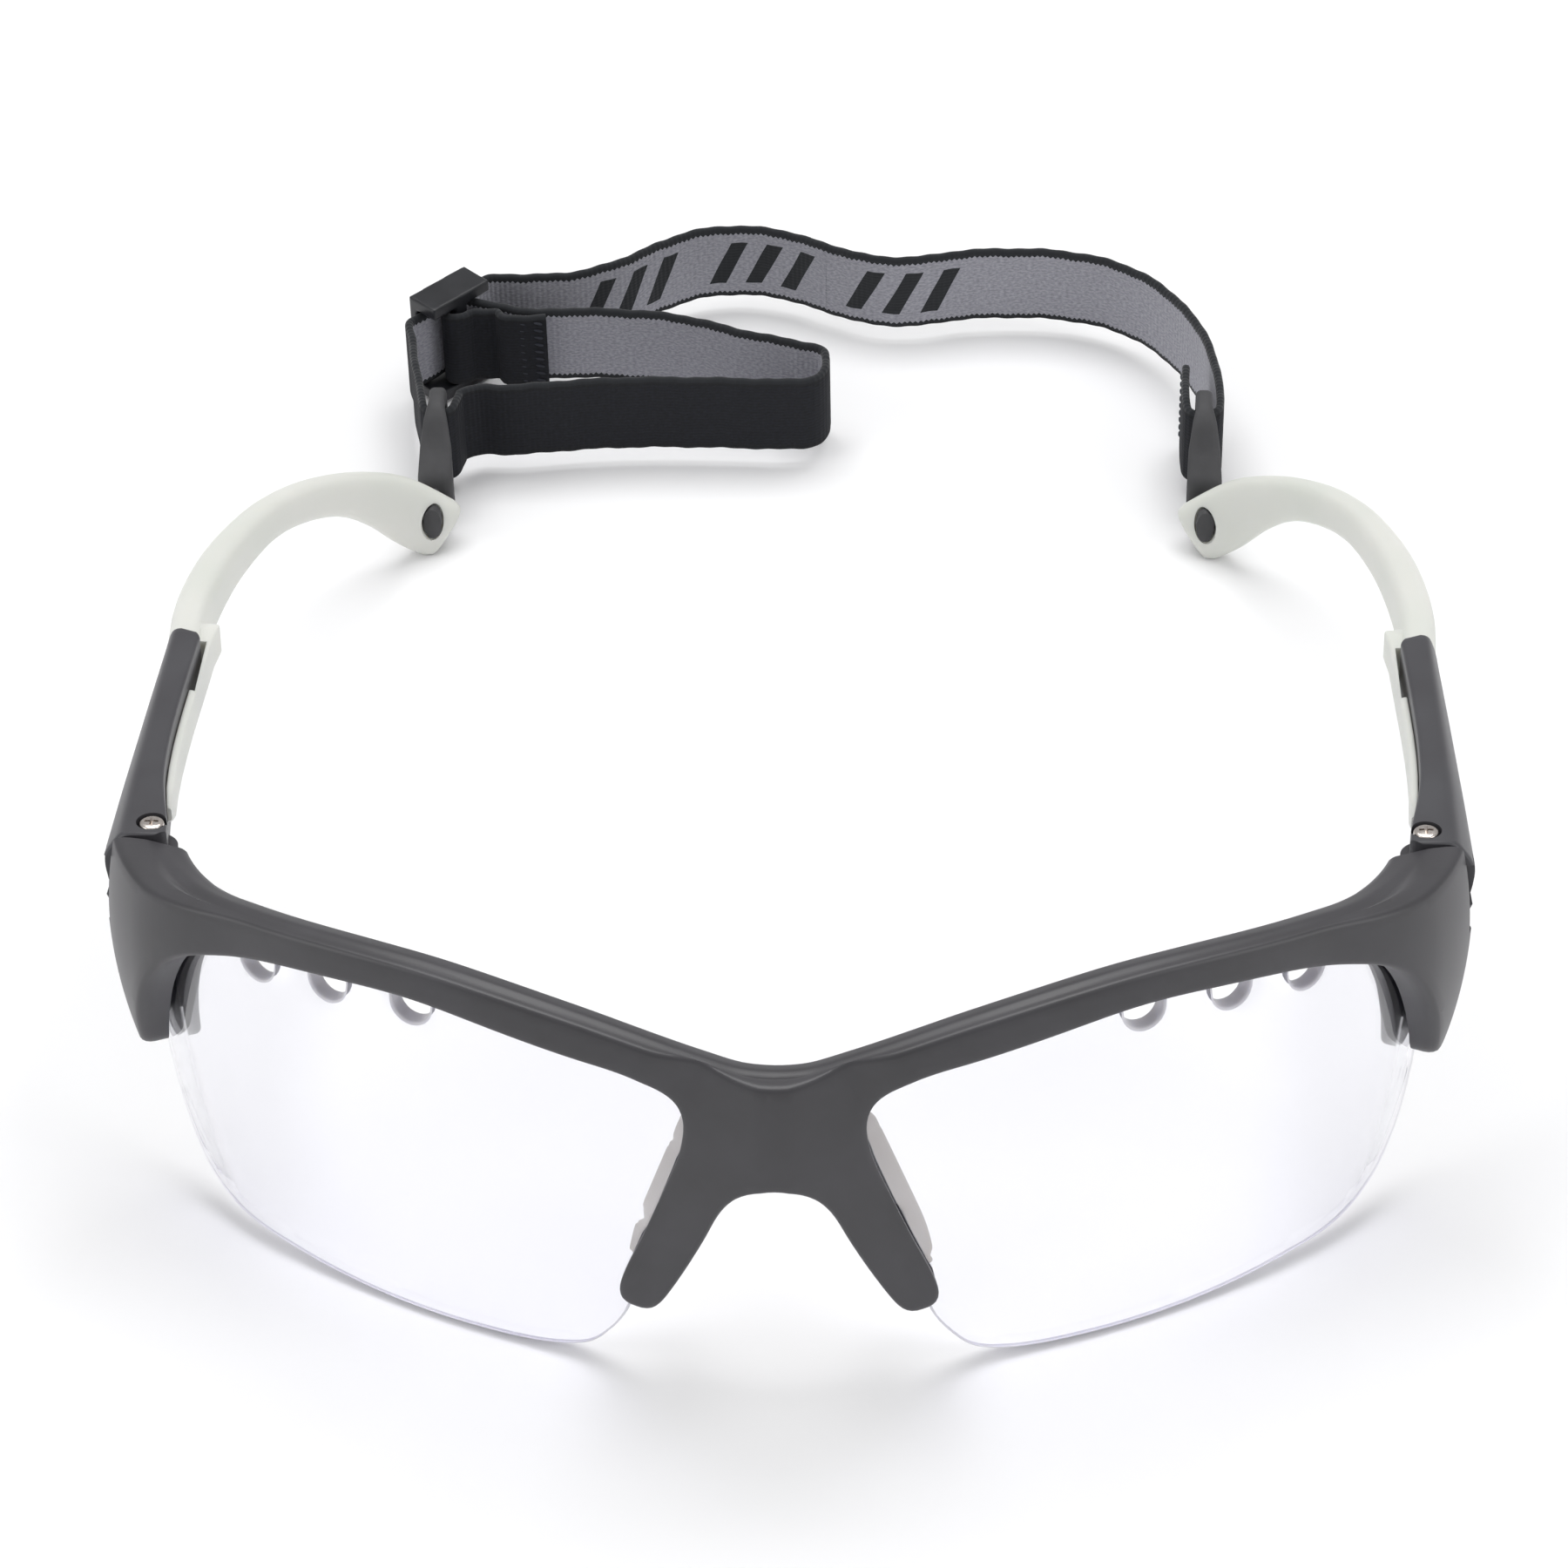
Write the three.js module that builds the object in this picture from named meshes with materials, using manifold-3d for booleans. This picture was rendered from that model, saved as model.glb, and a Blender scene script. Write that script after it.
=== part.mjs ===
// Sports protective goggles with folding temples and an elastic head strap.
// Units are millimetres and +Z is up. The wearer looks along -Y, and "right" is +X, the right-hand side
// of someone who faces the lenses. The goggles stand on a table on the lower lens edges and the tips.
import * as THREE from 'three';
import { mergeVertices } from 'three/addons/utils/BufferGeometryUtils.js';
import Module from 'manifold-3d';

const wasm = await Module();
wasm.setup();

// ---------- driving dimensions ----------

// The front follows one wrap curve in plan: a wide arc over each lens, then a tight one to the temple.
const WRAP_R = 95;
const WRAP_END = THREE.MathUtils.degToRad(38);
const SIDE_R = 30;
const SIDE_END = THREE.MathUtils.degToRad(80);
const BRIDGE_Y = -38;
const SAG_Z = -14; // height at which the front stands furthest forward
const SAG_R = 130; // vertical radius of the lenses

const GAP = 0.3; // between pieces that touch
const FRAME_FRONT = -1.5; // depth of the frame's front face, outside the wrap curve
const FRAME_BACK = 4.2;
const TOP_SLOPE = 0.3; // the top face falls this much for each millimetre towards the face
const BULGE = 2.4; // how far the end pieces stand proud of the wrap curve
const LENS_FRONT = 0.4;
const LENS_BACK = 2.4;
const NOTCH_R = 2.2;

const HINGE_X = 67.8;
const SEAM_Y = -2.85;
const TEMPLE_FRONT = -2.45;
const TEMPLE_TURN_R = 2.5; // the temple's inner front corner turns inside this radius
const TEMPLE_END = 40.6;
const EAR_TOP = -2.9; // underside of the temple's upper ear
const EAR_LOW = -7.9; // top of its lower ear
const TONGUE_R = 2.6;
const SCREW_R = 0.8;
const SCREW_HEAD_R = 1.35;

const PITCH = THREE.MathUtils.degToRad(7.3); // the goggles lean back when they stand on a table
const LIFT = 42.74; // puts the lower lens edges at z = 0
const SHIFT_Y = -58.72; // centres the whole length on y = 0

const STRAP_W = 11;
const STRAP_T = 1.0;
const STRAP_LOW = 2.2; // height of the strap's lower edge
const BAR_X = 48.8; // the strap bar of each connector
const BAR_Y = 118.5;
const BAR_T = 2.0;
const SLIDER_AT = new THREE.Vector2(-49.7, 141.2);
const SLIDER_HALF = 4.9;
const SLIDER_BACK = -1.8; // from the strap's middle, away from the wearer
const SLIDER_FACE = 3.1;
const SLIDER_DIR = new THREE.Vector2(-0.68, -0.733).normalize();

const RIGHT = 1;
const LEFT = -1;
const SIDE_NAME = { [RIGHT]: 'right', [LEFT]: 'left' };

// ---------- solids ----------

function closedSolid(geometry) {
  const bare = geometry.index ? geometry.toNonIndexed() : geometry.clone();
  bare.deleteAttribute('normal');
  bare.deleteAttribute('uv');
  const merged = mergeVertices(bare, 1e-4);
  const mesh = new wasm.Mesh({
    numProp: 3,
    vertProperties: new Float32Array(merged.attributes.position.array),
    triVerts: new Uint32Array(merged.index.array),
  });
  return new wasm.Manifold(mesh);
}

function geometryOf(manifold) {
  const mesh = manifold.getMesh();
  const geometry = new THREE.BufferGeometry();
  geometry.setAttribute('position', new THREE.BufferAttribute(new Float32Array(mesh.vertProperties), 3));
  geometry.setIndex(new THREE.BufferAttribute(new Uint32Array(mesh.triVerts), 1));
  return geometry;
}

// Moves every point of a geometry by a function of that point.
function warp(geometry, move) {
  const position = geometry.attributes.position;
  const point = new THREE.Vector3();
  for (let i = 0; i < position.count; i += 1) {
    point.fromBufferAttribute(position, i);
    const moved = move(point);
    position.setXYZ(i, moved.x, moved.y, moved.z);
  }
  return geometry;
}

// Faces are turned outwards when the enclosed volume comes out negative.
function facingOut(geometry) {
  const index = geometry.index.array;
  const position = geometry.attributes.position;
  const [a, b, c] = [new THREE.Vector3(), new THREE.Vector3(), new THREE.Vector3()];
  let volume = 0;
  for (let i = 0; i < index.length; i += 3) {
    a.fromBufferAttribute(position, index[i]);
    b.fromBufferAttribute(position, index[i + 1]);
    c.fromBufferAttribute(position, index[i + 2]);
    volume += a.dot(b.cross(c));
  }
  if (volume < 0) {
    for (let i = 0; i < index.length; i += 3) {
      [index[i + 1], index[i + 2]] = [index[i + 2], index[i + 1]];
    }
  }
  return geometry;
}

// A closed body through rings of equal point counts, with a flat fan on each end.
function loft(rings) {
  const count = rings[0].length;
  const points = rings.flat();
  const faces = [];
  for (let r = 0; r + 1 < rings.length; r += 1) {
    for (let i = 0; i < count; i += 1) {
      const j = (i + 1) % count;
      const [p, q] = [r * count + i, r * count + j];
      faces.push(p, q, q + count, p, q + count, p + count);
    }
  }
  [rings[0], rings.at(-1)].forEach((ring, end) => {
    const centre = ring.reduce((sum, v) => sum.add(v), new THREE.Vector3()).divideScalar(count);
    const hub = points.push(centre) - 1;
    const base = end * (rings.length - 1) * count;
    for (let i = 0; i < count; i += 1) {
      const j = (i + 1) % count;
      if (end === 0) faces.push(hub, base + j, base + i);
      else faces.push(hub, base + i, base + j);
    }
  });
  const geometry = new THREE.BufferGeometry().setFromPoints(points);
  geometry.setIndex(faces);
  return facingOut(geometry);
}

function box(x0, x1, y0, y1, z0, z1) {
  const geometry = new THREE.BoxGeometry(x1 - x0, y1 - y0, z1 - z0);
  return geometry.translate((x0 + x1) / 2, (y0 + y1) / 2, (z0 + z1) / 2);
}

function upright(radius, x, y, z0, z1, sides = 24) {
  const geometry = new THREE.CylinderGeometry(radius, radius, z1 - z0, sides);
  return geometry.rotateX(Math.PI / 2).translate(x, y, (z0 + z1) / 2);
}

function smooth(value) {
  const t = THREE.MathUtils.clamp(value, 0, 1);
  return t * t * (3 - 2 * t);
}

// A value read from a short list of [position, value] stations.
function along(stations, at) {
  const last = stations.length - 1;
  if (at <= stations[0][0]) return stations[0][1];
  for (let i = 0; i < last; i += 1) {
    const [a, b] = [stations[i], stations[i + 1]];
    if (at <= b[0]) return a[1] + ((b[1] - a[1]) * (at - a[0])) / (b[0] - a[0]);
  }
  return stations[last][1];
}

// ---------- the wrapped front ----------

const WRAP_S = WRAP_R * WRAP_END;
const SIDE_S = WRAP_S + SIDE_R * (SIDE_END - WRAP_END);

// The frame and lenses are laid out flat: x runs along the wrap curve, y is depth towards the face and
// z is height. bend() wraps that flat layout round the face.
function bend(flat) {
  const side = Math.sign(flat.x) || 1;
  const s = Math.abs(flat.x);
  const turn = s < WRAP_S ? s / WRAP_R : Math.min(WRAP_END + (s - WRAP_S) / SIDE_R, SIDE_END);
  const wide = Math.min(turn, WRAP_END);
  const past = Math.max(s - SIDE_S, 0);
  const x = WRAP_R * Math.sin(wide) + SIDE_R * (Math.sin(turn) - Math.sin(wide)) + past * Math.cos(turn);
  const y = BRIDGE_Y + WRAP_R * (1 - Math.cos(wide))
    + SIDE_R * (Math.cos(wide) - Math.cos(turn)) + past * Math.sin(turn);
  const proud = BULGE * smooth((s - 58) / 16) * Math.max(1 - ((flat.z + 10) / 20) ** 2, 0);
  const outward = flat.y < 0 ? (proud * flat.y) / FRAME_FRONT : 0;
  const depth = flat.y - outward + (flat.z - SAG_Z) ** 2 / (2 * SAG_R);
  return new THREE.Vector3(
    side * (x - Math.sin(turn) * depth),
    y + Math.cos(turn) * depth,
    flat.z,
  );
}

// Flat outlines, as points from the middle of the face outwards.
const BROW_TOP = [[0, -5.3], [3.5, -5], [7.1, -3.9], [20.8, 0], [34.9, 2.3], [45, 2.5], [60, 1.4], [70, 0.4],
  [79, 0], [86.5, 0]];
const FINGER = [[86.5, 0], [84.6, -10], [82.8, -17], [81.6, -21.5], [80.2, -24.2], [78.8, -24.6], [77.4, -24],
  [76.4, -21.6], [74.5, -17.2], [72.9, -13.8], [71.2, -10.8], [68.9, -7.8], [65.8, -5.6], [61, -3.9]];
const BROW_LOW = [[61, -3.9], [55.8, -2.7], [46.6, -1.6], [40, -1.3], [34.9, -1.7], [20.9, -4.5], [15, -5.9],
  [11.5, -7.6], [9.7, -9.7], [9.2, -12]];
const NOSE_ARM_OUT = [[9.2, -12], [9.8, -15.5], [11.6, -20.5], [14.2, -27.2], [16.2, -32], [17.1, -35.2],
  [16.7, -37]];
const NOSE_ARM_IN = [[16.7, -37], [14.2, -37.8], [12.9, -36.8], [11.8, -35], [9.8, -31.2], [7.6, -26.6],
  [5.2, -21.4], [3, -19.3], [0, -18.5]];
const LENS_TOP = [[7.7, -11], [8.6, -7.6], [11.5, -4.9], [20.5, -2.5], [34, 0.3], [41, 0.8], [48, 0.6],
  [60, -1.2], [66, -3.3], [69.5, -6], [72.5, -9.2], [76.2, -12.6], [79.2, -17], [80.9, -22]];
const LENS_LOW = [[80.9, -22], [81.6, -27.5], [80.6, -33.5], [77, -38.8], [70, -42.2], [60, -44.1],
  [48, -45.6], [36, -46.3], [26, -46.2], [21.5, -45], [18.8, -42.4], [16.6, -39], [14.7, -33],
  [12.7, -27.2], [10.1, -20.7], [8.3, -15.5], [7.7, -11]];
const NOTCHES = [[38.8, -2.9], [49, -3.3], [58.4, -4.2]];

function curve(points, steps) {
  return new THREE.SplineCurve(points.map(([x, z]) => new THREE.Vector2(x, z))).getSpacedPoints(steps);
}

function flatExtrude(points, from, to) {
  const options = { depth: to - from, bevelEnabled: false };
  const geometry = new THREE.ExtrudeGeometry(new THREE.Shape(points), options);
  return geometry.rotateX(Math.PI / 2).translate(0, to, 0);
}

// A flat slab with enough divisions to bend smoothly, cut to an outline.
function flatSheet(outline, from, to, s0, s1, columns) {
  const rows = 8;
  const slab = new THREE.BoxGeometry(s1 - s0, to - from, 52, columns, 1, rows);
  slab.translate((s0 + s1) / 2, (from + to) / 2, -22);
  return closedSolid(slab).intersect(closedSolid(flatExtrude(outline, from - 1, to + 1)));
}

function frameOutline() {
  const half = [
    ...curve(BROW_TOP, 26),
    ...curve(FINGER, 22).slice(1),
    ...curve(BROW_LOW, 22).slice(1),
    ...curve(NOSE_ARM_OUT, 10).slice(1),
    ...curve(NOSE_ARM_IN, 18).slice(1),
  ];
  const mirrored = half.slice(1, -1).reverse().map((p) => new THREE.Vector2(-p.x, p.y));
  return [...half, ...mirrored];
}

function lensOutline(side, clearance) {
  const points = [...curve(LENS_TOP, 26), ...curve(LENS_LOW, 40).slice(1, -1)];
  const centre = new THREE.Vector2(46, -20);
  const grown = points.map((p, i) => {
    const before = points.at(i - 1);
    const after = points[(i + 1) % points.length];
    const tangent = after.clone().sub(before).normalize();
    const normal = new THREE.Vector2(-tangent.y, tangent.x);
    const outward = Math.sign(normal.dot(p.clone().sub(centre))) || 1;
    return p.clone().addScaledVector(normal, outward * clearance);
  });
  return grown.map((p) => new THREE.Vector2(side * p.x, p.y));
}

function lensFlat(side, clearance) {
  const ends = [side * 5, side * 85].sort((a, b) => a - b);
  return flatSheet(lensOutline(side, clearance), LENS_FRONT - clearance, LENS_BACK + clearance, ...ends, 32);
}

function notchCutter(side, [s, z]) {
  const hole = new THREE.CylinderGeometry(NOTCH_R, NOTCH_R, 10, 20).translate(side * s, 0, z);
  const slot = box(side * s - NOTCH_R, side * s + NOTCH_R, -5, 5, z, z + 8);
  return closedSolid(hole).add(closedSolid(slot));
}

function lensGeometry(side) {
  let lens = lensFlat(side, 0);
  NOTCHES.forEach((notch) => {
    lens = lens.subtract(notchCutter(side, notch));
  });
  return warp(geometryOf(lens), bend);
}

// The hinge tongue of each end piece lies between the two ears of the temple.
function addTongue(frame, side) {
  const x = side * HINGE_X;
  const [low, high] = [EAR_LOW + GAP, EAR_TOP - GAP];
  const tongue = closedSolid(box(x - TONGUE_R, x + TONGUE_R, SEAM_Y - 2.2, 0, low, high))
    .add(closedSolid(upright(TONGUE_R, x, 0, low, high)));
  return frame.add(tongue).subtract(closedSolid(upright(SCREW_R + 0.1, x, 0, low - 1, high + 1)));
}

// The brow's top face slopes down from its front crease to its back edge.
function slopeTop(flat) {
  const fromTop = along(BROW_TOP, Math.abs(flat.x)) - flat.z;
  const share = 1 - smooth(fromTop / 2.4);
  return new THREE.Vector3(flat.x, flat.y, flat.z - share * TOP_SLOPE * (flat.y - FRAME_FRONT));
}

function frameGeometry() {
  let frame = flatSheet(frameOutline(), FRAME_FRONT, FRAME_BACK, -88, 88, 64);
  frame = closedSolid(warp(geometryOf(frame), slopeTop));
  [RIGHT, LEFT].forEach((side) => {
    frame = frame.subtract(lensFlat(side, GAP));
  });
  frame = closedSolid(warp(geometryOf(frame), bend));
  // the seam with the temple, and room below it for the temple's underside
  frame = frame.subtract(closedSolid(box(-90, 90, SEAM_Y, 40, -11.3, 10)));
  frame = addTongue(frame, RIGHT);
  frame = addTongue(frame, LEFT);
  return geometryOf(frame);
}

// ---------- nose pads ----------

// Each pad is a soft strip behind a nose arm that spreads outwards towards the face.
const PAD_STATIONS = [[-13, 4.4, 7.6], [-17, 5.2, 9], [-22, 6.8, 11], [-27.5, 9.4, 13.2], [-32, 11.6, 15],
  [-35.5, 13.6, 15.6]];

function nosePadGeometry(side) {
  const rings = PAD_STATIONS.map(([z, inner, outer], i) => {
    const end = i === 0 || i === PAD_STATIONS.length - 1;
    const reach = end ? 7.2 : 9.4;
    const base = FRAME_BACK + GAP;
    const section = [[inner, base], [outer, base], [outer + 1, 6], [outer + 2.4, reach - 0.6],
      [outer + 1.6, reach], [inner + 2.6, reach], [inner + 1, 7]];
    return section.map(([s, t]) => bend(new THREE.Vector3(side * s, t, z)));
  });
  return loft(rings);
}

// ---------- temples ----------

const TEMPLE_Y = [TEMPLE_FRONT, -1, 0.5, 4, 10, 18, 26, 34, TEMPLE_END];
const TEMPLE_INNER = [[-3, 65.9], [0, 66], [4, 66.9], [10, 67.9], [18, 68.2], [26, 68.1], [41, 67.6]];
const TEMPLE_RIDGE = [[-3, 70.8], [10, 71.1], [41, 70.9]];
const TEMPLE_OUTER = [[-3, 73.4], [10, 73.1], [26, 72.6], [41, 72.1]];
const TEMPLE_HEIGHT = [[-3, 10.7], [4, 10.2], [10, 9.6], [26, 8.4], [41, 7.6]];

function templeRing(side, y) {
  const inner = along(TEMPLE_INNER, y);
  const ridge = along(TEMPLE_RIDGE, y);
  const outer = along(TEMPLE_OUTER, y);
  const height = along(TEMPLE_HEIGHT, y);
  const section = [[inner, 0], [ridge, 0], [outer - 0.5, -0.25 * height], [outer, -0.5 * height],
    [outer - 0.5, -0.82 * height], [ridge, -height], [inner + 0.8, -height], [inner, -0.9 * height]];
  return section.map(([x, z]) => new THREE.Vector3(side * x, y, z));
}

const TANG_X = 69.9;

// The tang runs on from the temple into its soft tip.
function tang(side, clearance) {
  const rings = [TEMPLE_END - 1, TEMPLE_END + 15].map((y, i) => {
    const z = i === 0 ? -4.3 : -5.6;
    const [w, h] = [1.1 + clearance, 1.7 + clearance];
    const end = y + (i === 0 ? 0 : clearance);
    return [[-w, -h], [w, -h], [w, h], [-w, h]].map(([x, up]) => (
      new THREE.Vector3(side * (TANG_X + x), end, z + up)));
  });
  return closedSolid(loft(rings));
}

function templeGeometry(side) {
  const x = side * HINGE_X;
  let temple = closedSolid(loft(TEMPLE_Y.map((y) => templeRing(side, y))));
  const corner = closedSolid(box(Math.min(x, side * 60), Math.max(x, side * 60), -8, 0, -12, 1));
  const turned = closedSolid(upright(TEMPLE_TURN_R, x, 0, -13, 2, 48));
  temple = temple.subtract(corner.subtract(turned));
  temple = temple.add(tang(side, 0));
  // the slot for the tongue, open all round so that the temple can fold
  const slot = closedSolid(box(side * 70 - 10, side * 70 + 10, -8, 0, EAR_LOW, EAR_TOP))
    .add(closedSolid(upright(TONGUE_R + 0.35, x, 0, EAR_LOW, EAR_TOP, 32)));
  temple = temple.subtract(slot);
  temple = temple.subtract(closedSolid(upright(SCREW_HEAD_R + GAP, x, 0, -1.3, 3)));
  temple = temple.subtract(closedSolid(upright(SCREW_R + GAP, x, 0, -12, 3)));
  // pocket for the nut, from below
  temple = temple.subtract(closedSolid(upright(1.6 + GAP, x, 0, -13, -9.1, 6)));
  return geometryOf(temple);
}

function mergedIndex(geometry) {
  const bare = geometry.clone();
  bare.deleteAttribute('normal');
  bare.deleteAttribute('uv');
  return mergeVertices(bare.toNonIndexed(), 1e-4);
}

function screwGeometry(side) {
  const profile = [[0, -10.4], [SCREW_R, -10.4], [SCREW_R, -1], [SCREW_HEAD_R, -1], [SCREW_HEAD_R, -0.25],
    [SCREW_HEAD_R - 0.35, 0], [0, 0.05]].map(([r, z]) => new THREE.Vector2(r, z));
  const turned = new THREE.LatheGeometry(profile, 24).rotateX(Math.PI / 2);
  let screw = closedSolid(facingOut(mergedIndex(turned)));
  screw = screw.subtract(closedSolid(box(-0.85, 0.85, -0.17, 0.17, -0.5, 1)));
  screw = screw.subtract(closedSolid(box(-0.17, 0.17, -0.85, 0.85, -0.5, 1)));
  return geometryOf(screw).translate(side * HINGE_X, 0, 0);
}

function nutGeometry(side) {
  const x = side * HINGE_X;
  const nut = closedSolid(upright(1.6, x, 0, -10.1, -9.4, 6));
  return geometryOf(nut.subtract(closedSolid(upright(SCREW_R + 0.15, x, 0, -12, -8))));
}

// ---------- soft tips ----------

const TIP_PATH = [[69.8, 40.9, -4.6], [70.3, 50, -5.2], [69.7, 61, -6.3], [68.3, 72, -8], [65.8, 83, -10],
  [62.4, 92.4, -12.8], [58.4, 99.6, -16], [54.2, 104.9, -20], [50.4, 108.3, -24.3], [47.2, 110.2, -27.3]];
const TIP_WIDTH = [[0, 4.3], [0.25, 4.4], [0.55, 3.6], [0.8, 3.4], [1, 3.7]];
const TIP_HEIGHT = [[0, 7.3], [0.25, 6.4], [0.55, 4.9], [0.75, 5.2], [0.93, 8.8], [1, 7.6]];

function tipRings(side, steps) {
  const path = new THREE.CatmullRomCurve3(TIP_PATH.map(([x, y, z]) => new THREE.Vector3(side * x, y, z)));
  const rings = [];
  for (let i = 0; i <= steps; i += 1) {
    const u = i / steps;
    const centre = path.getPointAt(u);
    const forward = path.getTangentAt(u);
    const across = new THREE.Vector3(0, 0, 1).cross(forward).normalize();
    const up = forward.clone().cross(across).normalize();
    const [w, h] = [along(TIP_WIDTH, u) / 2, along(TIP_HEIGHT, u) / 2];
    const ring = [];
    for (let k = 0; k < 12; k += 1) {
      const angle = (k / 12) * 2 * Math.PI + Math.PI / 12;
      const [c, s] = [Math.cos(angle), Math.sin(angle)];
      const across01 = Math.sign(c) * Math.abs(c) ** 0.65;
      const up01 = Math.sign(s) * Math.abs(s) ** 0.65;
      ring.push(centre.clone().addScaledVector(across, w * across01).addScaledVector(up, h * up01));
    }
    rings.push(ring);
  }
  return rings;
}

// The tip's soft liner runs forward along the inner side of the temple.
function linerRings(side) {
  const stations = [[7.5, 0.3], [10, 0.6], [18, 0.6], [26, 0.6], [34, 0.6], [41.2, 0.6], [44.6, 1]];
  return stations.map(([y, thick]) => {
    const face = y > TEMPLE_END ? 69.2 : along(TEMPLE_INNER, y) - GAP;
    const half = y < 9 ? 1.2 : 2.1;
    const inner = y > TEMPLE_END ? 67.3 - thick : face - thick;
    return [[face, -4 - half], [face, -4 + half], [inner, -4 + half - 0.3], [inner, -4 - half + 0.3]]
      .map(([x, z]) => new THREE.Vector3(side * x, y, z));
  });
}

function tipGeometry(side) {
  let tip = closedSolid(loft(tipRings(side, 30)));
  tip = tip.add(closedSolid(loft(linerRings(side))));
  // the soft tip stays clear of the temple's end face and grips its tang
  tip = tip.subtract(closedSolid(box(side * 71 - 3.75, side * 71 + 3.75, 30, TEMPLE_END + GAP, -12, 2)));
  tip = tip.subtract(tang(side, GAP));
  tip = closedSolid(stand(geometryOf(tip)));
  // the flat the tip stands on, and the stepped hole that holds the strap connector
  tip = tip.subtract(closedSolid(box(-90, 90, -200, 200, -20, 0)));
  const [x, y, z] = HOLE_AT;
  tip = tip.subtract(closedSolid(box(side * x - 0.9, side * x + 0.9, y - 12, y + 12, z - 1.9, z + 1.9)));
  tip = tip.subtract(closedSolid(box(side * x - 1.4, side * x + 1.4, y - 12, y - 0.9, z - 2.5, z + 2.5)));
  return geometryOf(tip);
}

// ---------- connectors, slider and strap, laid out standing on the table ----------

const HOLE_AT = [48.8, 105.6, 5];

function connectorGeometry(side) {
  const [x, y, z] = HOLE_AT;
  const sideways = (points, half) => {
    const shape = new THREE.Shape(points.map(([a, b]) => new THREE.Vector2(a, b)));
    const plate = new THREE.ExtrudeGeometry(shape, { depth: 2 * half, bevelEnabled: false });
    // the shape's x becomes y and its y becomes z
    const turn = new THREE.Matrix4().makeBasis(
      new THREE.Vector3(0, 1, 0), new THREE.Vector3(0, 0, 1), new THREE.Vector3(1, 0, 0));
    return closedSolid(plate.applyMatrix4(turn).translate(side * x - half, 0, 0));
  };
  const rear = BAR_Y + BAR_T / 2;
  const [low, high] = [STRAP_LOW - 0.5, STRAP_LOW + STRAP_W + 0.5];
  const outline = [[y + 2.9, z - 3], [y + 2.9, z + 3], [rear - 8, 10.8], [rear - 5.5, 14.6],
    [rear - 4.5, high + 1.6], [rear - 1, high + 1.6], [rear, high + 0.6], [rear, low - 0.6],
    [rear - 1, low - 1.6], [rear - 5.5, low - 1.6], [rear - 9, 0.9]];
  const window = [[rear - 4.8, low], [rear - 4.8, high], [rear - BAR_T, high], [rear - BAR_T, low]];
  let body = sideways(outline, BAR_T / 2).subtract(sideways(window, 3));
  body = body.add(closedSolid(box(side * x - 0.6, side * x + 0.6, y - 1.5, y + 4, z - 1.6, z + 1.6)));
  body = body.add(closedSolid(box(side * x - 1.1, side * x + 1.1, y - 2.6, y - 1.2, z - 2.2, z + 2.2)));
  return geometryOf(body);
}

// A strap lies on edge: its route is a plan curve and its width is upright.
function strapGeometry(route) {
  const places = route.map(([x, y]) => new THREE.Vector3(x, y, 0));
  const path = new THREE.CatmullRomCurve3(places, false, 'centripetal');
  const steps = Math.round(path.getLength() / 1.2);
  const left = [];
  const right = [];
  for (let i = 0; i <= steps; i += 1) {
    const p = path.getPointAt(i / steps);
    const t = path.getTangentAt(i / steps);
    left.push(new THREE.Vector2(p.x - t.y * (STRAP_T / 2), p.y + t.x * (STRAP_T / 2)));
    right.push(new THREE.Vector2(p.x + t.y * (STRAP_T / 2), p.y - t.x * (STRAP_T / 2)));
  }
  const shape = new THREE.Shape([...left, ...right.reverse()]);
  return new THREE.ExtrudeGeometry(shape, { depth: STRAP_W, bevelEnabled: false }).translate(0, 0, STRAP_LOW);
}

// The strap's turn round a connector's bar, in plan, towards +X.
function barTurn(x) {
  const radius = BAR_T / 2 + 2 * GAP + STRAP_T / 2;
  const turn = [];
  for (let k = 0; k <= 6; k += 1) {
    const angle = Math.PI + (k / 6) * Math.PI;
    turn.push([x + radius * Math.cos(angle), BAR_Y + radius * Math.sin(angle)]);
  }
  return turn;
}

// A point of the slider's own layout: along the strap, then towards the wearer's side.
function atSlider(along01, inward) {
  const inwardDir = new THREE.Vector2(-SLIDER_DIR.y, SLIDER_DIR.x);
  const p = SLIDER_AT.clone().addScaledVector(SLIDER_DIR, along01).addScaledVector(inwardDir, inward);
  return [p.x, p.y];
}

const BACK_RIGHT = [[46.8, 127], [46.6, 122.5], ...barTurn(BAR_X), [51, 122.5], [50.5, 128], [49.1, 135],
  [46.2, 141.6], [42.9, 146.4], [38.9, 149.9], [35, 151.8], [28.9, 153.2], [18.6, 153], [11.7, 151.4],
  [6.3, 151.6], [0.15, 154.2]];
const BACK_LEFT = [[-0.15, 154.4], [-5.5, 157.3], [-11.8, 158.6], [-17.9, 157.5], [-21.9, 155], [-28, 150.2],
  [-33.5, 147.6], [-38.5, 147], atSlider(-7.5, 0), atSlider(-4, 0), atSlider(4, 0), atSlider(6.5, 0),
  [-53.4, 132.5], [-52.8, 128], [-51.8, 123.5], ...barTurn(-BAR_X), [-46.5, 120.4]];
const LOOP_FRONT = [[-46.1, 121.1], [-44, 121.9], [-40, 121.9], [-30.2, 123.2], [-22.3, 123.7],
  [-12.3, 123.6], [-4, 123.4], [-1, 124.1], [0.3, 126], [0.5, 128.2]];
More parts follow.
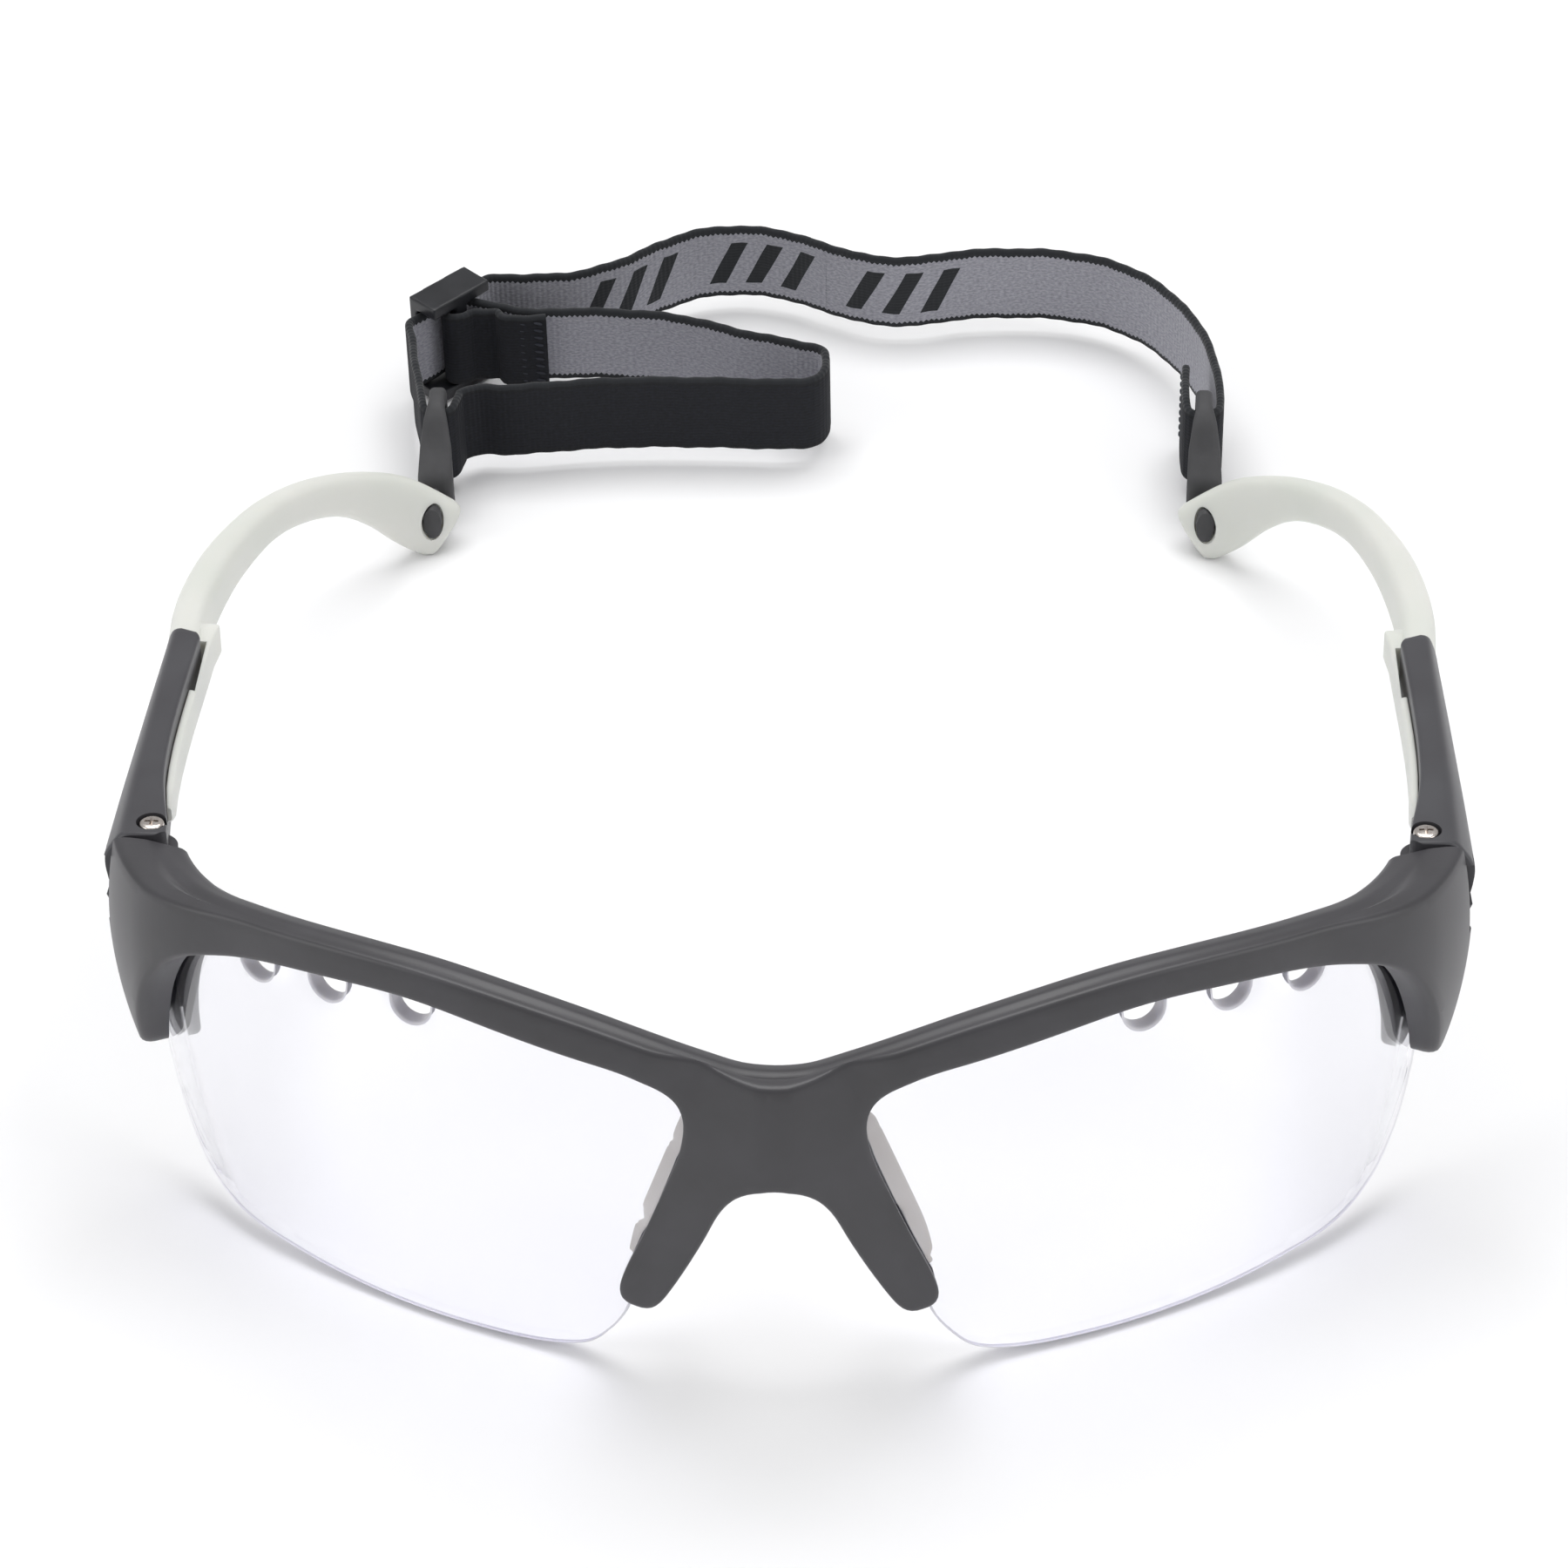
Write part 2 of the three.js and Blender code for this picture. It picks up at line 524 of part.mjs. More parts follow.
// The sewn end goes behind the slider's middle bar, turns round it and lies in front of its own run.
const LOOP_RETURN = [[0.5, 128.6], [0.1, 130.4], [-3, 131.9], [-9.5, 134], [-19.1, 137.8], [-27, 139],
  [-34, 139.2], [-38.2, 138.9], atSlider(-4.2, 5.9), atSlider(-3, 3.8), atSlider(-2.6, 2.5),
  atSlider(-1.8, 1.5), atSlider(-0.6, 1.22), atSlider(1, 1.22), atSlider(1.9, 1.7), atSlider(2.2, 2.5),
  atSlider(1.9, 3.4), atSlider(0.9, 3.95), atSlider(-0.7, 4.15), atSlider(-1.6, 5),
  atSlider(-2.9, 6.6), [-42, 137.6], [-38, 137.6], [-36.4, 137.8]];

// Three upright bars between two rails: the strap passes behind the outer two and the sewn end holds
// the middle one.
function sliderGeometry() {
  const half = SLIDER_HALF;
  const [low, high] = [STRAP_LOW - 2.05, STRAP_LOW + STRAP_W + 2.05];
  const inner = [STRAP_LOW - 0.35, STRAP_LOW + STRAP_W + 0.35];
  let slider = closedSolid(box(-half, half, SLIDER_BACK, SLIDER_FACE, low, inner[0])).add(
    closedSolid(box(-half, half, SLIDER_BACK, SLIDER_FACE, inner[1], high)));
  [-half + 0.7, half - 0.7].forEach((u) => {
    slider = slider.add(closedSolid(box(u - 0.7, u + 0.7, SLIDER_BACK, -0.8, low, high)));
  });
  slider = slider.add(closedSolid(box(-1, 1, 1.9, SLIDER_FACE, low, high)));
  const [dx, dy] = [SLIDER_DIR.x, SLIDER_DIR.y];
  const turn = new THREE.Matrix4().makeBasis(
    new THREE.Vector3(dx, dy, 0), new THREE.Vector3(-dy, dx, 0), new THREE.Vector3(0, 0, 1));
  return geometryOf(slider).applyMatrix4(turn).translate(SLIDER_AT.x, SLIDER_AT.y, 0);
}

// ---------- assembly ----------

// Leans the worn-level pieces back until lens edges and tips share the table.
function stand(geometry) {
  return geometry.rotateX(-PITCH).translate(0, 0, LIFT);
}

const FINISH = {
  frame: { color: 0x59595c, roughness: 0.55, metalness: 0 },
  lens: { color: 0xf4f7fa, roughness: 0.03, metalness: 0, transparent: true, opacity: 0.25 },
  pad: { color: 0xbdb9b3, roughness: 0.5, metalness: 0 },
  tip: { color: 0xdfdfdb, roughness: 0.5, metalness: 0 },
  screw: { color: 0xd7cec8, roughness: 0.25, metalness: 1 },
  nut: { color: 0xb08d4e, roughness: 0.35, metalness: 1 },
  connector: { color: 0x3a3a3c, roughness: 0.7, metalness: 0 },
  slider: { color: 0x1d1f24, roughness: 0.4, metalness: 0 },
  strap: { color: 0x85858c, roughness: 0.95, metalness: 0 },
};

const goggles = new THREE.Group();
goggles.position.y = SHIFT_Y;

function place(name, geometry, finish) {
  const mesh = new THREE.Mesh(geometry, new THREE.MeshStandardMaterial(FINISH[finish]));
  mesh.name = name;
  goggles.add(mesh);
}

place('front_frame', stand(frameGeometry()), 'frame');
[RIGHT, LEFT].forEach((side) => {
  const name = SIDE_NAME[side];
  place(`lens_${name}`, stand(lensGeometry(side)), 'lens');
  place(`nose_pad_${name}`, stand(nosePadGeometry(side)), 'pad');
  place(`temple_${name}`, stand(templeGeometry(side)), 'frame');
  place(`temple_tip_${name}`, tipGeometry(side), 'tip');
  place(`hinge_screw_${name}`, stand(screwGeometry(side)), 'screw');
  place(`hinge_nut_${name}`, stand(nutGeometry(side)), 'nut');
  place(`strap_connector_${name}`, connectorGeometry(side), 'connector');
});
place('strap_back_right', strapGeometry(BACK_RIGHT), 'strap');
place('strap_back_left', strapGeometry(BACK_LEFT), 'strap');
place('strap_loop_front', strapGeometry(LOOP_FRONT), 'strap');
place('strap_loop_return', strapGeometry(LOOP_RETURN), 'strap');
place('strap_slider', sliderGeometry(), 'slider');

export default goggles;
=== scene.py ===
# %% [markdown]
# # Sports protective goggles with an elastic head strap
#
# The goggles have a half-rim front moulded in matt nylon, two clear wrap lenses, folding temples with
# soft white tips, and a knitted elastic strap that hangs in the tips by rubber connectors. The packed
# model holds the sizes and the joints. This lesson gives each piece its moulded edges, its knit and
# its finish, and hangs the rigid pieces on the body that each moves with; the strap and its seams are
# hung on no body.

# %% Load the fixed frame
import math

import bmesh
import bpy
import numpy as np
from mathutils import Matrix, Vector
from mathutils.geometry import delaunay_2d_cdt


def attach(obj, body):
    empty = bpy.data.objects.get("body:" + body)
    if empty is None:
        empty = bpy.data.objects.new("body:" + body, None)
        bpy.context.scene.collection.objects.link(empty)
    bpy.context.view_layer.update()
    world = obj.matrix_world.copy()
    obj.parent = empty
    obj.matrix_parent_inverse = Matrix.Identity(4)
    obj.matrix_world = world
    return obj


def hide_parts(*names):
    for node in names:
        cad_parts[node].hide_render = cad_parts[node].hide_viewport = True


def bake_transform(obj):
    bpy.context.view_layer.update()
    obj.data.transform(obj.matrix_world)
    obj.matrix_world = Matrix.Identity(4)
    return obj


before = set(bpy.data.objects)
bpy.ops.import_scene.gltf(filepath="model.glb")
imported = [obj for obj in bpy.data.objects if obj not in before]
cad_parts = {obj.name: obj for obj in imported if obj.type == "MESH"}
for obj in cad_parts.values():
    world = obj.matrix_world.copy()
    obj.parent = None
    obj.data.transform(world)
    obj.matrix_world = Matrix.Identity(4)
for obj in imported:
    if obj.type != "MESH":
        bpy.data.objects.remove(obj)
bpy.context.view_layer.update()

# %% [markdown]
# The camera stands in front of the goggles and looks down on them by about 40 degrees, from some
# 60 cm away, with a long lens. It is made first, because every later choice of detail depends on what
# it can see. The floor is a wide pale table. The light is a white room with a wide soft lamp above and
# behind, which brightens the upward faces, and a weaker softbox on each side.

# %% Camera, table and light
def add_object(name, data):
    made = bpy.data.objects.new(name, data)
    bpy.context.scene.collection.objects.link(made)
    return made


def look(obj, place, forward, right, roll_deg=0.0):
    forward = Vector(forward).normalized()
    right = Vector(right)
    right = (right - forward * right.dot(forward)).normalized()
    up = right.cross(forward)
    roll = math.radians(roll_deg)
    level = right * math.cos(roll) - up * math.sin(roll)
    top = right * math.sin(roll) + up * math.cos(roll)
    turn = Matrix((level, top, -forward)).transposed().to_4x4()
    turn.translation = Vector(place)
    obj.matrix_world = turn


camera = add_object("camera", bpy.data.cameras.new("camera"))
camera.data.lens = 118.8
camera.data.sensor_width = 36
camera.data.clip_start = 0.02
CAMERA_AT = (0.0200, -0.4780, 0.3981)
look(camera, CAMERA_AT, (-0.0368, 0.7675, -0.6400), (0.99905, 0.04327, -0.0055), 0.97)
bpy.context.scene.camera = camera


def softbox(name, place, size, power):
    lamp = add_object(name, bpy.data.lights.new(name, "AREA"))
    lamp.data.shape = "RECTANGLE"
    lamp.data.size, lamp.data.size_y = size
    lamp.data.energy = power
    target = Vector((0, -0.02, 0.02))
    forward = target - Vector(place)
    look(lamp, place, forward, forward.cross(Vector((0, 0, 1))))
    return lamp


softbox("lamp_above", (0.0, 0.25, 0.95), (0.9, 0.7), 7.4)
softbox("lamp_left", (-0.8, -0.35, 0.45), (0.4, 0.7), 2.1)
softbox("lamp_right", (0.8, -0.35, 0.45), (0.4, 0.7), 2.1)

world = bpy.data.worlds.new("white_room")
bpy.context.scene.world = world
world.use_nodes = True
world.node_tree.nodes["Background"].inputs["Color"].default_value = (1, 1, 1, 1)
world.node_tree.nodes["Background"].inputs["Strength"].default_value = 0.44
bpy.context.scene.view_settings.view_transform = "Standard"

TABLE_HALF, TABLE_Z = 3.0, -0.0002
table_corners = [(x * TABLE_HALF, y * TABLE_HALF, TABLE_Z) for x, y in ((-1, -1), (1, -1), (1, 1), (-1, 1))]
table_mesh = bpy.data.meshes.new("table")
table_mesh.from_pydata(table_corners, [], [(0, 1, 2, 3)])
table = add_object("table", table_mesh)

# %% [markdown]
# Materials are built from nodes. One function turns a hex colour into the linear light that Blender
# wants, and one adds a node with its settings and links, so that each finish reads as a short recipe.
# All patterns have real sizes: a scale of `per_mm(0.3)` repeats every 0.3 mm.

# %% Material helpers
def linear(hex_colour):
    parts = [int(hex_colour[i:i + 2], 16) / 255 for i in (1, 3, 5)]
    return (*[p / 12.92 if p <= 0.04045 else ((p + 0.055) / 1.055) ** 2.4 for p in parts], 1.0)


def per_mm(size):
    """The texture scale, in repeats for each metre, of a pattern of that size in millimetres."""
    return 1000.0 / size


def add_node(tree, kind, settings=None, **inputs):
    """Adds a node. Settings are its own properties, and inputs are its sockets, by name or _number."""
    node = tree.nodes.new(kind)
    for name, value in (settings or {}).items():
        setattr(node, name, value)
    for name, value in inputs.items():
        key = int(name[1:]) if name[0] == "_" and name[1:].isdigit() else name.replace("_", " ")
        socket = node.inputs[key]
        if isinstance(value, bpy.types.NodeSocket):
            tree.links.new(value, socket)
        else:
            socket.default_value = value
    return node


def start_material(name, **principled):
    material = bpy.data.materials.new(name)
    material.use_nodes = True
    tree = material.node_tree
    tree.nodes.clear()
    shader = add_node(tree, "ShaderNodeBsdfPrincipled", **principled)
    output = add_node(tree, "ShaderNodeOutputMaterial")
    tree.links.new(shader.outputs[0], output.inputs["Surface"])
    return material, tree, shader


def mottled(tree, shader, place, colours, size_mm, detail=3.0):
    """A colour that wanders between two close tones."""
    noise = add_node(tree, "ShaderNodeTexNoise", Vector=place, Scale=per_mm(size_mm), Detail=detail)
    ramp = add_node(tree, "ShaderNodeValToRGB", Fac=noise.outputs["Fac"])
    ramp.color_ramp.elements[0].position, ramp.color_ramp.elements[1].position = 0.3, 0.7
    for element, colour in zip(ramp.color_ramp.elements, colours):
        element.color = linear(colour)
    tree.links.new(ramp.outputs["Color"], shader.inputs["Base Color"])
    return noise


def rough_between(tree, shader, factor, low, high):
    spread = add_node(tree, "ShaderNodeMapRange", _0=factor, _3=low, _4=high)
    tree.links.new(spread.outputs[0], shader.inputs["Roughness"])


def bump(tree, shader, height, depth_mm, strength=1.0):
    node = add_node(tree, "ShaderNodeBump", Strength=strength, Distance=depth_mm / 1000, Height=height)
    tree.links.new(node.outputs["Normal"], shader.inputs["Normal"])


def object_place(tree):
    return add_node(tree, "ShaderNodeTexCoord").outputs["Object"]

# %% [markdown]
# **Matt nylon.** The front and the temples are injection-moulded nylon from a spark-eroded mould: a
# dark grey skin with a very fine even grain, which breaks highlights into a soft sheen. The real grain
# is near 0.1 mm. It is drawn at 0.22 mm, because anything finer would vanish in the picture.

# %% Moulded nylon
def moulded_nylon(name, tones):
    material, tree, shader = start_material(name, IOR=1.53)
    place = object_place(tree)
    slow = mottled(tree, shader, place, tones, 9.0)
    rough_between(tree, shader, slow.outputs["Fac"], 0.36, 0.46)
    grain = add_node(tree, "ShaderNodeTexNoise", Vector=place, Scale=per_mm(0.22), Detail=2.0)
    bump(tree, shader, grain.outputs["Fac"], 0.012, 0.5)
    return material


NYLON = moulded_nylon("moulded_nylon_dark_grey", ("#38373a", "#3f3e42"))
NYLON_TEMPLE = moulded_nylon("moulded_nylon_temple", ("#3b3a3e", "#434347"))

# %% [markdown]
# ** Clear polycarbonate.** The lenses are moulded polycarbonate with a hard coat: quite smooth, with an
# index of 1.585. Cycles sends no lamp light through glass on its own, so the shader lets shadow rays
# pass by a Transparent shader, and the table behind the lens stays as bright as it should. The edge
# faces get an opaque pale lilac colour: painted light, which stands in for the bright thin line that
# the clear edge shows.
#
# **White elastomer and pale silicone.** Light goes a little way into both, which softens their shading
# and makes thin edges glow.

# %% Lens and soft plastics
def clear_polycarbonate():
    material, tree, shader = start_material(
        "clear_polycarbonate", Base_Color=linear("#f6f6fa"), IOR=1.585, Transmission_Weight=1.0)
    place = object_place(tree)
    smear = add_node(tree, "ShaderNodeTexNoise", Vector=place, Scale=per_mm(14), Detail=4.0)
    rough_between(tree, shader, smear.outputs["Fac"], 0.0, 0.045)
    ray = add_node(tree, "ShaderNodeLightPath")
    through = add_node(tree, "ShaderNodeBsdfTransparent", Color=linear("#f1f1f6"))
    mix = add_node(tree, "ShaderNodeMixShader", _0=ray.outputs["Is Shadow Ray"],
                   _1=shader.outputs[0], _2=through.outputs[0])
    output = next(n for n in tree.nodes if n.type == "OUTPUT_MATERIAL")
    tree.links.new(mix.outputs[0], output.inputs["Surface"])
    return material


def soft_elastomer(name, tones, depth_mm, roughness):
    """A cast or moulded elastomer: light goes a little way in, so its edges glow."""
    material, tree, shader = start_material(
        name, Subsurface_Weight=0.35, Subsurface_Scale=depth_mm / 1000, IOR=1.45)
    shader.inputs["Subsurface Radius"].default_value = (1.0, 0.95, 0.85)
    place = object_place(tree)
    slow = mottled(tree, shader, place, tones, 22.0)
    rough_between(tree, shader, slow.outputs["Fac"], roughness - 0.05, roughness + 0.05)
    skin = add_node(tree, "ShaderNodeTexNoise", Vector=place, Scale=per_mm(0.6), Detail=2.0)
    bump(tree, shader, skin.outputs["Fac"], 0.012, 0.4)
    return material


LENS_CLEAR = clear_polycarbonate()
# The lens edge's opaque pale lilac colour is painted light: it stands in for the bright line of the clear
# edge.
LENS_EDGE_PAINTED_LIGHT = soft_elastomer("lens_edge_painted_light", ("#dcdae4", "#e9e8ee"), 1.5, 0.3)
TIP_WHITE = soft_elastomer("white_translucent_elastomer", ("#cfd2cb", "#d8d8d3"), 2.0, 0.45)
PAD_GREY = soft_elastomer("pale_grey_silicone", ("#aba59e", "#b9b4ad"), 1.5, 0.38)

# %% [markdown]
# **Rubber, acetal and metal.** The connectors are moulded rubber, matt and nearly black. The slider is
# black acetal, which is smoother and shows soft highlights on its rolled bars. The hinge screws are
# nickel-plated steel, with the fine rings that turning leaves, and the nuts are turned brass.

# %% Rubber, acetal and metal
def plain_moulding(name, tones, roughness, grain_mm, depth_mm):
    material, tree, shader = start_material(name, IOR=1.5)
    place = object_place(tree)
    slow = mottled(tree, shader, place, tones, 4.0)
    rough_between(tree, shader, slow.outputs["Fac"], roughness - 0.06, roughness + 0.06)
    grain = add_node(tree, "ShaderNodeTexNoise", Vector=place, Scale=per_mm(grain_mm), Detail=2.0)
    bump(tree, shader, grain.outputs["Fac"], depth_mm, 0.6)
    return material


def turned_metal(name, tones, roughness, ring_mm, centre):
    """Bare metal with fine rings round an upright axis at centre."""
    material, tree, shader = start_material(name, Metallic=1.0)
    place = object_place(tree)
    centred = add_node(tree, "ShaderNodeMapping", Vector=place, Location=[-c for c in centre])
    slow = mottled(tree, shader, place, tones, 0.5)
    rough_between(tree, shader, slow.outputs["Fac"], roughness - 0.05, roughness + 0.1)
    rings = add_node(tree, "ShaderNodeTexWave", {"wave_type": "RINGS", "rings_direction": "Z"},
                     Vector=centred.outputs[0], Scale=per_mm(ring_mm) / 20, Distortion=0.4)
    bump(tree, shader, rings.outputs["Fac"], 0.006, 0.5)
    return material


RUBBER = plain_moulding("moulded_black_rubber", ("#38383a", "#434345"), 0.68, 0.3, 0.02)
ACETAL = plain_moulding("black_acetal", ("#191a1e", "#222327"), 0.36, 0.5, 0.008)
print(len(bpy.data.materials), "materials so far")

# %% [markdown]
# ## The layout that the real mould follows
#
# The front wraps round the face, so its shapes are drawn flat and then bent: `s` runs along the wrap
# curve, `t` is depth towards the face and `z` is height, all in millimetres. `bend` wraps the layout,
# and `stand` leans the worn-level goggles back until lens edges and tips share the table. Both repeat
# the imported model's own rule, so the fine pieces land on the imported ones.

# %% The wrap curve and the lean
WRAP_R, WRAP_END = 95.0, math.radians(38)
SIDE_R, SIDE_END = 30.0, math.radians(80)
WRAP_S = WRAP_R * WRAP_END
SIDE_S = WRAP_S + SIDE_R * (SIDE_END - WRAP_END)
BRIDGE_Y, SAG_Z, SAG_R = -38.0, -14.0, 130.0
FRAME_FRONT, FRAME_BACK = -1.5, 4.2
BULGE, TOP_SLOPE = 2.4, 0.3
GAP = 0.3
PITCH = math.radians(7.3)
LIFT, SHIFT_Y = 42.74, -58.72


def smooth(value):
    share = np.clip(value, 0, 1)
    return share * share * (3 - 2 * share)


def bend(points):
    """Wraps flat (s, t, z) points round the face, as (x, y, z) of the worn-level goggles."""
    s, t, z = np.abs(points[:, 0]), points[:, 1], points[:, 2]
    side = np.where(points[:, 0] < 0, -1.0, 1.0)
    turn = np.where(s < WRAP_S, s / WRAP_R, np.minimum(WRAP_END + (s - WRAP_S) / SIDE_R, SIDE_END))
    wide = np.minimum(turn, WRAP_END)
    past = np.maximum(s - SIDE_S, 0)
    x = WRAP_R * np.sin(wide) + SIDE_R * (np.sin(turn) - np.sin(wide)) + past * np.cos(turn)
    y = BRIDGE_Y + WRAP_R * (1 - np.cos(wide)) + SIDE_R * (np.cos(wide) - np.cos(turn)) + past * np.sin(turn)
    proud = BULGE * smooth((s - 58) / 16) * np.maximum(1 - ((z + 10) / 20) ** 2, 0)
    outward = np.where(t < 0, proud * t / FRAME_FRONT, 0)
    depth = t - outward + (z - SAG_Z) ** 2 / (2 * SAG_R)
    return np.column_stack((side * (x - np.sin(turn) * depth), y + np.cos(turn) * depth, z))


def stand(points):
    """Leans worn-level points back onto the table."""
    y, z = points[:, 1], points[:, 2]
    cos, sin = math.cos(PITCH), math.sin(PITCH)
    return np.column_stack((points[:, 0], y * cos + z * sin + SHIFT_Y, z * cos - y * sin + LIFT))


def shifted(points):
    """Moves points that are laid out standing on the table."""
    return np.asarray(points, float) + (0, SHIFT_Y, 0)

# %% [markdown]
# Outlines are a few given points with a smooth curve through them. A closed mesh then comes from
# rings: each ring is the outline, moved in or out by a profile, so edges get real radii. The flat ends
# are filled with an even grid of triangles, which bends without creases.

# %% Curves, rings and closed meshes
def catmull(points, spacing, closed=False):
    """Evenly spaced points on a centripetal Catmull-Rom curve through the given ones."""
    p = np.asarray(points, float)
    if closed:
        p = np.vstack((p[-1], p, p[0], p[1]))
    else:
        p = np.vstack((2 * p[0] - p[1], p, 2 * p[-1] - p[-2]))
    fine = []
    for a, b, c, d in zip(p[:-3], p[1:-2], p[2:-1], p[3:]):
        t1 = np.linalg.norm(b - a) ** 0.5
        t2 = t1 + np.linalg.norm(c - b) ** 0.5
        t3 = t2 + np.linalg.norm(d - c) ** 0.5
        t = np.linspace(t1, t2, 40, endpoint=False)[:, None]
        ab, bc, cd = (t1 - t) / t1 * a + t / t1 * b, (t2 - t) / (t2 - t1) * b + (t - t1) / (t2 - t1) * c, \
            (t3 - t) / (t3 - t2) * c + (t - t2) / (t3 - t2) * d
        abc, bcd = (t2 - t) / t2 * ab + t / t2 * bc, (t3 - t) / (t3 - t1) * bc + (t - t1) / (t3 - t1) * cd
        fine.append((t2 - t) / (t2 - t1) * abc + (t - t1) / (t2 - t1) * bcd)
    fine = np.vstack((*fine, p[-2][None]))
    run = np.concatenate(([0], np.cumsum(np.linalg.norm(np.diff(fine, axis=0), axis=1))))
    count = max(2, round(run[-1] / spacing))
    at = np.linspace(0, run[-1], count + 1)
    even = np.column_stack([np.interp(at, run, fine[:, k]) for k in range(fine.shape[1])])
    return even[:-1] if closed else even


def outward_normals(loop):
    """Unit normals in the plane of a closed loop, pointing out of it."""
    tangent = np.roll(loop, -1, 0) - np.roll(loop, 1, 0)
    normal = np.column_stack((tangent[:, 1], -tangent[:, 0]))
    normal /= np.linalg.norm(normal, axis=1)[:, None]
    x, y = loop[:, 0], loop[:, 1]
    area = np.sum(x * np.roll(y, -1) - np.roll(x, -1) * y)
    return normal if area > 0 else -normal


def inside(loop, points, margin):
    """True for the points that lie in the loop and at least margin away from it."""
    a, b = loop, np.roll(loop, -1, 0)
    x, y = points[:, 0][:, None], points[:, 1][:, None]
    crosses = (a[:, 1] > y) != (b[:, 1] > y)
    rise = np.where(b[:, 1] == a[:, 1], 1e-12, b[:, 1] - a[:, 1])
    at = a[:, 0] + (y - a[:, 1]) / rise * (b[:, 0] - a[:, 0])
    within = (np.sum(crosses & (x < at), axis=1) % 2) == 1
    nearest = np.min(np.hypot(x - a[:, 0], y - a[:, 1]), axis=1)
    return within & (nearest > margin)


def grid_fill(loop, pitch):
    """An even grid of triangles in a closed loop: the added points, and faces over loop and points."""
    low, high = loop.min(0), loop.max(0)
    rows = np.arange(low[1], high[1], pitch * 0.866)
    grid = np.array([(x + (pitch / 2 if r % 2 else 0), y)
                     for r, y in enumerate(rows) for x in np.arange(low[0], high[0], pitch)])
    grid = grid[inside(loop, grid, pitch * 0.55)]
    points = [Vector(p) for p in (*loop, *grid)]
    _, _, faces, source, _, _ = delaunay_2d_cdt(points, [], [list(range(len(loop)))], 1, 1e-7)
    return grid, [[source[i][0] for i in f] for f in faces]


def mesh_object(name, points_mm, faces, material, smooth_angle=40):
    """A mesh in metres. Doubles are merged first, and then the faces are turned outwards."""
    data = bpy.data.meshes.new(name)
    data.from_pydata([tuple(p) for p in np.asarray(points_mm) / 1000], [], [tuple(f) for f in faces])
    data.materials.append(material)
    tidy = bmesh.new()
    tidy.from_mesh(data)
    bmesh.ops.remove_doubles(tidy, verts=tidy.verts, dist=2e-7)
    bmesh.ops.dissolve_degenerate(tidy, edges=tidy.edges, dist=1e-8)
    bmesh.ops.recalc_face_normals(tidy, faces=tidy.faces)
    tidy.to_mesh(data)
    tidy.free()
    data.shade_smooth()
    data.set_sharp_from_angle(angle=math.radians(smooth_angle))
    return add_object(name, data)


def ring_faces(rows, count):
    """Quads between closed rings of count points."""
    faces = []
    for row in range(rows - 1):
        near, far = row * count, (row + 1) * count
        for i in range(count):
            after = (i + 1) % count
            faces.append((near + i, near + after, far + after, far + i))
    return faces


def plate(name, loop, profile, pitch, shape, material):
    """A plate over a flat outline. Each profile row is (offset, depth), and may hold one value per point."""
    normals = outward_normals(loop)
    rows = [np.column_stack((loop + normals * np.reshape(offset, (-1, 1)), np.full(len(loop), depth)))
            for offset, depth in profile]
    faces = ring_faces(len(rows), len(loop))
    points = np.vstack(rows)
    for row in (0, len(rows) - 1):
        grid, fill = grid_fill(rows[row][:, :2], pitch)
        start = len(points)
        points = np.vstack((points, np.column_stack((grid, np.full(len(grid), rows[row][0, 2])))))
        first = row * len(loop)
        faces += [[first + i if i < len(loop) else start + i - len(loop) for i in f] for f in fill]
    flat = np.column_stack((points[:, 0], points[:, 2], points[:, 1]))
    return mesh_object(name, shape(flat), faces, material)


def loft(name, rings, material, shape, smooth_angle=40):
    """A closed body through rings of equal point counts. Each end closes on its middle point."""
    count = len(rings[0])
    points = np.vstack([*rings, rings[0].mean(0), rings[-1].mean(0)])
    faces = ring_faces(len(rings), count)
    hub, end = len(rings) * count, (len(rings) - 1) * count
    faces += [(hub, (i + 1) % count, i) for i in range(count)]
    faces += [(hub + 1, end + i, end + (i + 1) % count) for i in range(count)]
    return mesh_object(name, shape(points), faces, material, smooth_angle)


def joined_or_cut(target, tools, operation):
    """Joins tools to a piece or cuts them out of it, and leaves one plain mesh in the piece's material."""
    material = target.data.materials[0]
    for tool in tools:
        step = target.modifiers.new("boolean", "BOOLEAN")
        step.operation, step.solver, step.object = operation, "MANIFOLD", tool
        settle(target)
        bpy.data.objects.remove(tool)
    target.data.materials.clear()
    target.data.materials.append(material)
    target.data.polygons.foreach_set("material_index", np.zeros(len(target.data.polygons), np.int32))
    return target


def settle(obj):
    """Turns a piece with its modifiers into a plain mesh."""
    graph = bpy.context.evaluated_depsgraph_get()
    graph.update()
    plain = bpy.data.meshes.new_from_object(obj.evaluated_get(graph))
    obj.modifiers.clear()
    obj.data = plain
    return obj


def block(low, high, shape):
    """A plain box to cut or join with, in mm."""
    x0, y0, z0 = low
    x1, y1, z1 = high
    ring = [(x0, y0), (x1, y0), (x1, y1), (x0, y1)]
    return loft("cutter", [np.array([(x, y, z) for x, y in ring], float) for z in (z0, z1)], None, shape)


def rod(centre, radii, low, high, axis="z", shape=stand, sides=48):
    """A round or oval rod to cut or join with, in mm."""
    turn = np.linspace(0, 2 * math.pi, sides, endpoint=False)
    circle = np.column_stack((radii[0] * np.cos(turn), radii[-1] * np.sin(turn)))
    rings = []
    for at in (low, high):
        ring = np.column_stack((circle + centre, np.full(sides, at)))
        rings.append(ring if axis == "z" else ring[:, [0, 2, 1]])
    return loft("cutter", rings, None, shape)

# %% [markdown]
# ## The front frame
#
# The front is one moulding: a brow that runs over both lenses, a nose bridge with two arms, and an end
# piece each side with a finger down the lens's edge. Its outline is a closed loop. The profile rounds
# the front edge into a fine bead, sinks a shallow groove behind it along the brow, and rounds the back.

